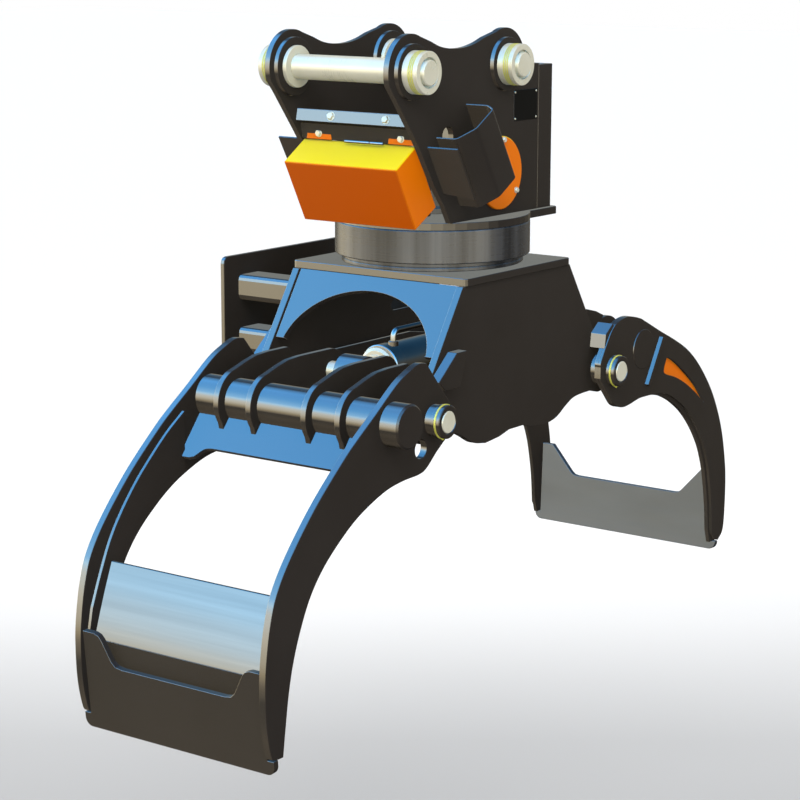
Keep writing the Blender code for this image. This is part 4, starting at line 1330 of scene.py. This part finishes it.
# the front edge of the plate that backs each left tine on its inside
LEFT_BACKING: list[Point] = [
    (-0.865, -0.418), (-0.945, -0.473), (-1.017, -0.534), (-1.088, -0.601), (-1.158, -0.682),
    (-1.215, -0.766),
    (-1.263, -0.868), (-1.302, -0.964),
]
SHELL_BACK: list[Point] = [
    (-1.213, -0.834), (-1.252, -0.934), (-1.286, -1.032), (-1.297, -1.080), (-1.3015, -1.140),
    (-1.300, -1.200),
]


@dataclass
class Claw:
    """One claw: tines, ribs, cross tube, blade and lever pin, and on the left claw the shell."""

    end: End
    tube: Point
    tube_ends: tuple[float, float]
    crest: list[Point]
    ring_start: float
    blade_line: tuple[Point, Point]
    notch: list[Point]
    blade_finish: Finish
    tube_r: float = 0.070
    rib_r: float = 0.103
    blade_thick: float = 0.020
    blade_corner_r: float = 0.028
    rib_places: tuple[float, ...] = (0.242, 0.110, -0.110, -0.242)
    body: str = field(init=False)
    out: float = field(init=False)

    def __post_init__(self) -> None:
        """Name the body that this claw is, and how wide it stands."""
        self.body = self.end.tag + "_claw"
        self.out = self.end.face

    def tine_outline(self) -> list[Point]:
        """The flame-cut outline of one tine."""
        if self.end is End.LEFT:
            nose = arc(0.012 - PIVOT_X, PIVOT_Z - 0.004, 0.086, -60, 48, 24)
            back = [(max(x, -1.348), z) for x, z in flow(LEFT_OUTER[:-1])]
            return back + [LEFT_OUTER[-1]] + flow(LEFT_GRIP) + nose
        return flow(RIGHT_OUTER[:-1]) + [RIGHT_OUTER[-1]] + flow(RIGHT_GRIP)

    def tines(self) -> None:
        """Both tines with their collars and fittings."""
        for side in Side:
            inner = side.value * (self.out - TINE_THICK)
            outer = side.value * self.out
            name = "%s_tine_cut_%s" % (self.end.tag, side.tag)
            stands_for = ["%s_tine_%s" % (self.end.tag, side.tag)]
            if self.end is End.LEFT:
                hole = arc(-0.585, -0.494, 0.030, 0, 352.5, 47)
                Shop.plate(
                    name, self.tine_outline(), inner, outer, SPRAYED_ENAMEL, self.body, stands_for, 0.0022,
                    [hole]
                )
                self.backing(side)
            else:
                self.stepped_tine(side, name, stands_for)
            self.collar(side)

    def stepped_tine(self, side: Side, name: str, stands_for: Sequence[str]) -> None:
        """A right tine: the outer half of its thickness stands back along the grip edge.

        Args:
            side: which tine.
            name: the piece's name.
            stands_for: the CAD nodes that it replaces.
        """
        inner = side.value * (self.out - TINE_THICK)
        outer = side.value * self.out
        middle = side.value * (self.out - 0.010)
        window = flow(WINDOW + [WINDOW[0]])[:-1]
        Shop.plate(
            name, self.tine_outline(), inner, middle, SPRAYED_ENAMEL, self.body, stands_for, 0.0018,
            [window]
        )
        join = RIGHT_GRIP.index((0.756, -0.541))
        outline = flow(RIGHT_OUTER[:-1]) + [(1.276, -1.181)] + flow(RIGHT_STEP) + flow(RIGHT_GRIP[join:])
        Shop.plate(name + "_face", outline, middle, outer, SPRAYED_ENAMEL, self.body, (), 0.0018, [window])
        Shop.plate(
            "right_window_floor_" + side.tag, window, inner, side.value * (self.out - 0.009), ORANGE_ENAMEL,
            self.body, (), 0.0
        )
        bar = [(0.822, -0.338), (0.838, -0.347), (0.743, -0.504), (0.727, -0.495)]
        Shop.plate(
            "right_bar_" + side.tag, bar, outer, outer + side.value * 0.015, SPRAYED_ENAMEL, self.body, (),
            0.0006
        )

    def backing(self, side: Side) -> None:
        """The plate that backs a left tine on its inside, seen by its bright front edge.

        Args:
            side: which tine.
        """
        outline = flow(LEFT_BACKING, 10) + [(-1.316, -1.030), (-1.322, -1.120), (-1.316, -1.205)]
        grip = flow(LEFT_GRIP[:9])
        for (x0, z0), (x1, z1) in zip(grip, grip[1:]):
            along = Vector((x1 - x0, z1 - z0)).normalized()
            outline.append((x0 - along.y * 0.012, z0 + along.x * 0.012))
        inner = side.value * (self.out - TINE_THICK)
        Shop.plate(
            "left_backing_" + side.tag, outline, inner, inner - side.value * 0.010, SPRAYED_ENAMEL,
            self.body, (), 0.0008
        )

    def collar(self, side: Side) -> None:
        """The collar round the pivot shaft, with its snap ring in a groove.

        Args:
            side: which tine.
        """
        axis = AXIS_Y * side.value
        spot = at(self.end.value * PIVOT_X, 0, PIVOT_Z)
        shoulder = TINE_OUT
        neck = [
            (0.0353, self.out), (0.050, self.out), (0.050, shoulder)
        ] if self.out < shoulder else [(0.0353, self.out)]
        profile = neck + [
            (0.053, shoulder), (0.053, 0.4145), (0.0495, 0.4145), (0.0495, 0.4225), (0.053, 0.4225),
            (0.053, 0.4325),
            (0.0505, 0.435), (0.0385, 0.435), (0.0375, 0.433), (0.0353, 0.433),
        ]
        label = "%s_%s" % (self.end.tag, side.tag)
        Shop.turned("collar_" + label, profile, spot, axis, SPRAYED_ENAMEL, self.body)
        profile = [
            (0.0495, 0.4155), (0.0545, 0.4155), (0.0552, 0.4163), (0.0552, 0.4210), (0.0545, 0.4218),
            (0.0495, 0.4218)
        ]
        Shop.turned("snap_ring_" + label, profile, spot, axis, YELLOW_CHROMATE, self.body)
        shape = bmesh.new()
        for turn in (-76, -100):
            a = math.radians(turn)
            place = at(
                self.end.value * PIVOT_X + 0.055 * math.cos(a), side.value * 0.4172,
                PIVOT_Z + 0.055 * math.sin(a)
            )
            Shop.add_turned(shape, [(0, 0), (0.0036, 0), (0.0036, 0.0046), (0, 0.0046)], place, axis, 20)
        Shop.hand_over("snap_lugs_" + label, shape, YELLOW_CHROMATE, self.body)

    def cross_tube(self) -> None:
        """The tube through the tines, its ends faced flat with a small chamfer."""
        spot = at(self.tube[0], 0, self.tube[1])
        r = self.tube_r
        near, far = self.tube_ends
        edge = 0.006 if self.end is End.LEFT else 0.001
        profile = [
            (0, -near), (r - edge, -near), (r, -near + edge), (r, far - 0.001), (r - 0.001, far), (0, far)
        ]
        Shop.turned(
            self.end.tag + "_tube_turned", profile, spot, AXIS_Y, SPRAYED_ENAMEL, self.body,
            [self.end.tag + "_tube"], 0.0, 160
        )

    def ribs(self) -> None:
        """The four ribs that hold the tube."""
        e = self.end.value
        x = abs(self.tube[0])
        z = self.tube[1]
        way = Vector((0.633, -0.774)).normalized()
        tip = (x + way.x * 0.118, z + way.y * 0.118)
        for number, y in enumerate(self.rib_places, 1):
            if number in (2, 3):
                line = arc(LEVER_X, LEVER_Z, 0.070, 225, 85, 30)
            else:
                line = [(0.455, -0.360), (0.450, -0.300), (0.470, -0.262)]
            line = line + list(reversed(self.crest))
            line += arc(x, z, self.rib_r, 180 - self.ring_start, -36, 36)
            line += [tip]
            line += arc(x, z, self.rib_r, -72, -100, 8)
            line += flow([(0.640, -0.492), (0.585, -0.487)])
            line += arc(PIVOT_X, PIVOT_Z, 0.072, -80, -150, 16)
            if e < 0:
                line = [(-a, b) for a, b in line]
            Shop.plate(
                "%s_rib_cut_%d" % (self.end.tag, number), line, y - 0.010, y + 0.010, SPRAYED_ENAMEL,
                self.body,
                ["%s_rib_%d" % (self.end.tag, number)], 0.0018,
            )

    def blade(self) -> None:
        """The flat blade: notched above, rounded below, as wide as both tines under their tips."""
        wide = self.out - TINE_THICK - GAP
        top, low = self.blade_line
        run = Vector((low[0] - top[0], 0, low[1] - top[1]))
        length = run.length
        run.normalize()
        half = self.blade_thick / 2
        tip_z = min(z for _, z in self.tine_outline())
        step = (top[1] - tip_z + abs(run.x) * half + 2 * GAP) / abs(run.z)
        corner = self.blade_corner_r
        line = list(reversed(arc(self.out - corner, length - corner, corner, 0, 90, 12)))
        line += [(self.out, step), (wide, step), (wide, 0.0)]
        line += fold([(wide - inset, s) for inset, s in self.notch], 0.003)
        line += [(-y, s) for y, s in reversed(line)]
        shape = bmesh.new()
        across = Vector((run.z, 0, -run.x))
        start = at(top[0], 0, top[1])
        Shop.extrude(
            shape, [start + AXIS_Y * y + run * s - across * half for y, s in line],
            across * self.blade_thick
        )
        Shop.hand_over(
            self.end.tag + "_blade_cut", shape, self.blade_finish, self.body, [self.end.tag + "_blade"],
            0.0012
        )

    def shell(self) -> None:
        """The rolled sheet behind the left blade: buffed above, with a foot in black enamel below it."""
        wide = self.out - TINE_THICK - GAP
        back = flow(SHELL_BACK, 14)
        bright = [p for p in back if p[1] > -1.062]
        x, z = bright[-1]
        foot_line = [(x + 0.001, z - 0.0005), (x + 0.016, z - 0.140)]
        for label, line, finish, nodes in (
            ("left_shell_rolled", bright, BUFFED_SHELL_SHEET, ["left_shell"]),
            ("left_shell_foot", foot_line, SPRAYED_ENAMEL, []),
        ):
            outline = list(line) + [(x + 0.010, z) for x, z in reversed(line)]
            Shop.plate(label, outline, -wide, wide, finish, self.body, nodes, 0.0008)

    def lever_pin(self) -> None:
        """The pin that the cylinder's eye turns on."""
        spot = at(self.end.value * LEVER_X, 0, LEVER_Z)
        profile = pin_line(0.030, 0.126, 0.003)
        Shop.turned(
            self.end.tag + "_lever_pin_ground", profile, spot, AXIS_Y, ZINC_ON_TURNED_STEEL, self.body,
            [self.end.tag + "_lever_pin"], 0.0, 64,
        )

    def build(self) -> None:
        """Build and dress the claw."""
        self.tines()
        self.cross_tube()
        self.ribs()
        self.blade()
        self.lever_pin()
        if self.end is End.LEFT:
            self.shell()


@dataclass
class ClawCylinder:
    """The one cylinder between the two claws."""

    barrel_r: float = 0.075
    bore_r: float = 0.055
    rod_r: float = 0.035
    left_x: float = -0.295
    cap_x: float = 0.345

    @staticmethod
    def eye(body: str, x: float) -> None:
        """The forged eye of the rod or of the barrel, round a lever pin.

        Args:
            body: the body that it belongs to, which also names it.
            x: where the lever pin is.
        """
        profile = [
            (0.0303, -0.050), (0.057, -0.050), (0.060, -0.047), (0.060, 0.047), (0.057, 0.050),
            (0.0303, 0.050)
        ]
        Shop.turned(body + "_eye_forging", profile, at(x, 0, LEVER_Z), AXIS_Y, SPRAYED_ENAMEL, body)

    def rod(self) -> None:
        """The chromed rod with its eye."""
        line = at(0, 0, LEVER_Z)
        eye_x = -LEVER_X
        profile = [
            (0, eye_x + 0.035), (self.rod_r, eye_x + 0.035), (self.rod_r, 0.220), (self.bore_r - GAP, 0.220)
        ]
        profile += [(self.bore_r - GAP, 0.280), (0, 0.280)]
        Shop.turned("rod_ground", profile, line, AXIS_X, HARD_CHROME, "rod", ["cylinder_rod"])
        self.eye("rod", eye_x)

    def barrel(self) -> None:
        """The barrel with its eye and gland."""
        line = at(0, 0, LEVER_Z)
        r = self.barrel_r
        profile = [
            (self.bore_r, self.left_x), (r - 0.003, self.left_x), (r, self.left_x + 0.003),
            (r, self.left_x + 0.050),
            (r - 0.002, self.left_x + 0.052), (r - 0.002, self.cap_x - 0.050), (r, self.cap_x - 0.048),
            (r, self.cap_x - 0.010),
            (r - 0.010, self.cap_x), (0.040, self.cap_x), (0.040, 0.385), (0, 0.385), (0, 0.330),
            (self.bore_r, 0.330),
        ]
        Shop.turned("barrel_honed", profile, line, AXIS_X, DRAWN_PIPE, "barrel", ["cylinder_barrel"])
        self.eye("barrel", LEVER_X)
        left = self.left_x - 0.020
        right = self.left_x - GAP
        profile = [
            (self.rod_r + GAP, left), (0.044, left), (0.045, left + 0.002), (0.058, left + 0.002),
            (0.060, left + 0.004),
            (0.066, left + 0.006), (0.068, left + 0.008), (0.068, right), (self.rod_r + GAP, right),
        ]
        Shop.turned("gland_turned", profile, line, AXIS_X, ZINC_ON_TURNED_STEEL, "barrel", ["cylinder_gland"])

    def pipes(self) -> None:
        """The drawn pipes from both ports along the barrel."""
        low = LEVER_Z + self.barrel_r
        for label, y in (("front", -0.024), ("rear", 0.024)):
            start_x = -0.250 if label == "front" else 0.230
            path = [at(start_x, y, low - 0.004), at(start_x, y, low + 0.012)]
            turn_r = 0.022
            top = low + 0.044
            way = 1 if label == "front" else -1
            for k in range(1, 9):
                a = math.pi / 2 * k / 8
                path.append(
                    at(
                        start_x + way * (turn_r - turn_r * math.cos(a)), y,
                        top - turn_r + turn_r * math.sin(a)
                    )
                )
            stop_x = -0.010 if label == "front" else 0.080
            path.append(at(stop_x, y, top))
            shape = bmesh.new()
            Shop.add_tube(shape, path, [0.0095] * len(path), 20)
            Shop.hand_over("port_pipe_" + label, shape, DRAWN_PIPE, "barrel")
            profile = [(0, -0.006), (0.017, -0.006), (0.017, 0.008), (0.014, 0.010), (0, 0.010)]
            Shop.turned(
                "port_boss_" + label, profile, at(start_x, y, low), AXIS_Z, SPRAYED_ENAMEL, "barrel", (),
                0.0, 40
            )
            profile = [(0, 0), (0.014, 0), (0.014, 0.014), (0.011, 0.016), (0, 0.016)]
            Shop.turned(
                "port_nut_" + label, profile, at(stop_x - way * 0.004, y, top), AXIS_X * way,
                ZINC_ON_TURNED_STEEL, "barrel", (), 0.0, 6
            )

    def build(self) -> None:
        """Build and dress the cylinder."""
        self.rod()
        self.barrel()
        self.pipes()


@dataclass
class Studio:
    """The pale floor, the soft light and the camera of the photograph."""

    lens_mm: float = 105.59
    camera_place: tuple[float, float, float] = (-6.384, -4.525, 0.477)
    forward: tuple[float, float, float] = (0.7883, 0.5808, -0.2030)
    right: tuple[float, float, float] = (0.5935, -0.8048, 0.0020)
    floor_z: float = -3.1

    def camera(self) -> None:
        """Stand the camera where the photograph was taken from."""
        data = bpy.data.cameras.new("camera")
        data.lens = self.lens_mm
        data.sensor_width = 36.0
        data.clip_end = 200.0
        made = bpy.data.objects.new("camera", data)
        forward = Vector(self.forward).normalized()
        right = Vector(self.right)
        right = (right - forward * right.dot(forward)).normalized()
        up = right.cross(forward)
        turn = Matrix((right, up, -forward)).transposed()
        made.matrix_world = Matrix.Translation(Vector(self.camera_place)) @ turn.to_4x4()
        bpy.context.scene.collection.objects.link(made)
        bpy.context.scene.camera = made

    def world(self) -> None:
        """Fill the room with soft light: pale to the eye, cool above and warm below in the gloss."""
        made = bpy.data.worlds.new("studio")
        bpy.context.scene.world = made
        made.use_nodes = True
        tree = made.node_tree
        tree.nodes.clear()
        way = add_node(tree, "ShaderNodeTexCoord").outputs["Generated"]
        split = add_node(tree, "ShaderNodeSeparateXYZ", links={"Vector": way})
        height = add_node(
            tree, "ShaderNodeMapRange", values={"From Min": -1.0, "From Max": 1.0},
            links={"Value": split.outputs["Z"]}
        ).outputs["Result"]
        # radiance by height, a tenth of its value: deep blue high up, milky at eye level, a tan
        # band just under it, then the dark ground that makes the upright blades look black
        sky = ramp(
            tree,
            height,
            [
                (0.00, (0.010, 0.008, 0.006)),
                (0.20, (0.045, 0.036, 0.024)),
                (0.320, (0.028, 0.025, 0.018)),
                (0.362, (0.16, 0.13, 0.085)),
                (0.400, (0.28, 0.23, 0.14)),
                (0.490, (0.50, 0.46, 0.36)),
                (0.575, (0.55, 0.57, 0.53)),
                (0.640, (0.42, 0.66, 0.84)),
                (0.690, (0.22, 0.50, 0.80)),
                (0.815, (0.088, 0.34, 0.68)),
                (0.880, (0.064, 0.28, 0.61)),
                (0.960, (0.03, 0.12, 0.28)),
            ],
        )
        away = add_node(
            tree,
            "ShaderNodeMapRange",
            values={"From Min": 0.05, "From Max": 0.45, "To Min": 1.0, "To Max": 0.05},
            links={"Value": split.outputs["X"]},
        ).outputs["Result"]
        gloss = add_node(tree, "ShaderNodeBackground", links={"Color": sky})
        power = add_node(
            tree, "ShaderNodeMath", settings={"operation": "MULTIPLY"}, values={1: 10.0}, links={0: away}
        ).outputs["Value"]
        tree.links.new(power, gloss.inputs["Strength"])
        soft = add_node(tree, "ShaderNodeBackground", values={"Color": (1, 1, 1, 1), "Strength": 1.0})
        paper = add_node(tree, "ShaderNodeBackground", values={"Color": (1, 1, 1, 1), "Strength": 1.0})
        path = add_node(tree, "ShaderNodeLightPath")
        first = add_node(
            tree,
            "ShaderNodeMixShader",
            links={0: path.outputs["Is Glossy Ray"], 1: soft.outputs[0], 2: gloss.outputs[0]},
        )
        second = add_node(
            tree,
            "ShaderNodeMixShader",
            links={0: path.outputs["Is Camera Ray"], 1: first.outputs[0], 2: paper.outputs[0]},
        )
        add_node(tree, "ShaderNodeOutputWorld", links={"Surface": second.outputs[0]})

    def lamp(self, name: str, place: Vector, aim: Vector, size: Point, power: float, hex_code: str) -> None:
        """Hang one soft box.

        Args:
            name: its name.
            place: where it hangs.
            aim: what it points at.
            size: its width and height.
            power: its watts.
            hex_code: its colour.
        """
        data = bpy.data.lights.new(name, "AREA")
        data.shape = "RECTANGLE"
        data.size = size[0]
        data.size_y = size[1]
        data.energy = power
        data.color = linear(hex_code)[:3]
        made = bpy.data.objects.new(name, data)
        made.location = place
        made.rotation_euler = (aim - place).to_track_quat("-Z", "Y").to_euler()
        made.visible_glossy = False
        bpy.context.scene.collection.objects.link(made)

    def floor(self) -> None:
        """Lay the pale floor well below the claws, with painted shade: grey on the camera's side, fading to
        white further off.
        """
        shape = bmesh.new()
        for x, y in ((-40, -40), (60, -40), (60, 60), (-40, 60)):
            shape.verts.new((x, y, self.floor_z))
        shape.faces.new(list(shape.verts))
        mesh = bpy.data.meshes.new("studio_floor")
        shape.to_mesh(mesh)
        shape.free()
        made = bpy.data.objects.new("studio_floor", mesh)
        bpy.context.scene.collection.objects.link(made)
        paint = bpy.data.materials.new("pale_floor_paint")
        paint.use_nodes = True
        tree = paint.node_tree
        shader = tree.nodes["Principled BSDF"]
        # painted shade: the floor's colour runs from grey on the camera's side to white far off, in place of
        # the light's falloff
        place = add_node(tree, "ShaderNodeNewGeometry").outputs["Position"]
        along = add_node(
            tree, "ShaderNodeVectorMath", settings={"operation": "DOT_PRODUCT"},
            values={1: (0.805, 0.593, 0.0)}, links={0: place}
        ).outputs["Value"]
        share = add_node(
            tree, "ShaderNodeMapRange", values={"From Min": 1.0, "From Max": 6.5}, links={"Value": along}
        ).outputs["Result"]
        tone = ramp(
            tree,
            share,
            [
                (0.0, linear("bababa")),
                (0.187, linear("c2c2c2")),
                (0.338, linear("d2d2d2")),
                (0.515, linear("e4e4e4")),
                (0.725, linear("f2f2f2")),
                (0.98, linear("ffffff")),
            ],
        )
        tree.links.new(tone, shader.inputs["Base Color"])
        shader.inputs["Roughness"].default_value = 0.9
        shader.inputs["Specular IOR Level"].default_value = 0.1
        mesh.materials.append(paint)
        made.visible_glossy = False

    def build(self) -> None:
        """Set up the whole studio, with colours shown as they are lit."""
        bpy.context.scene.view_settings.view_transform = "Standard"
        self.camera()
        self.world()
        self.floor()
        aim = Vector((0, 0, -0.7))
        self.lamp("key_box", Vector((-4.5, -3.0, 4.5)), aim, (3.0, 3.0), 150, "ffffff")
        self.lamp("back_box", Vector((4.5, 4.5, 2.5)), aim, (2.5, 2.5), 120, "ffffff")


def dress_cad_nodes() -> None:
    """Give every CAD node that still shows its real finish."""
    for name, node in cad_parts.items():
        for slot in node.material_slots:
            key = slot.material.name.split(".")[0] if slot.material else ""
            finish = CAD_FINISH.get(key, SPRAYED_ENAMEL)
            slot.material = Shop.materials[finish.name]
        node.visible_glossy = False
        LOG.info("CAD node %s dressed", name)


def main() -> None:
    """Build every sub-assembly in the order that it is bolted up."""
    logging.basicConfig(level=logging.INFO, format="%(message)s")
    Shop.mix_finishes(FINISHES)
    dress_cad_nodes()
    HangerHead().build()
    SlewBearing().build()
    SlewFrame().build()
    Claw(
        End.LEFT, (-0.730, -0.390), (0.446, LEFT_TINE_OUT + 0.001),
        [(0.690, -0.271), (0.640, -0.259), (0.580, -0.255), (0.480, -0.255)], 100,
        ((-1.328, -1.027), (-1.298, -1.344)),
        [(0.045, 0.0), (0.062, 0.006), (0.073, 0.018), (0.109, 0.084), (0.124, 0.097), (0.150, 0.101)],
        SPRAYED_ENAMEL,
    ).build()
    Claw(
        End.RIGHT, (0.712, -0.367), (TINE_OUT + 0.0025, TINE_OUT + 0.0025),
        [(0.690, -0.258), (0.640, -0.238), (0.580, -0.223), (0.500, -0.223)], 72,
        ((1.298, -0.916), (1.284, -1.221)),
        [(0.045, 0.0), (0.052, 0.008), (0.133, 0.098), (0.145, 0.107), (0.165, 0.110)],
        GROUND_WEAR_PLATE,
    ).build()
    ClawCylinder().build()
    Studio().build()


if __name__ == "__main__":
    main()
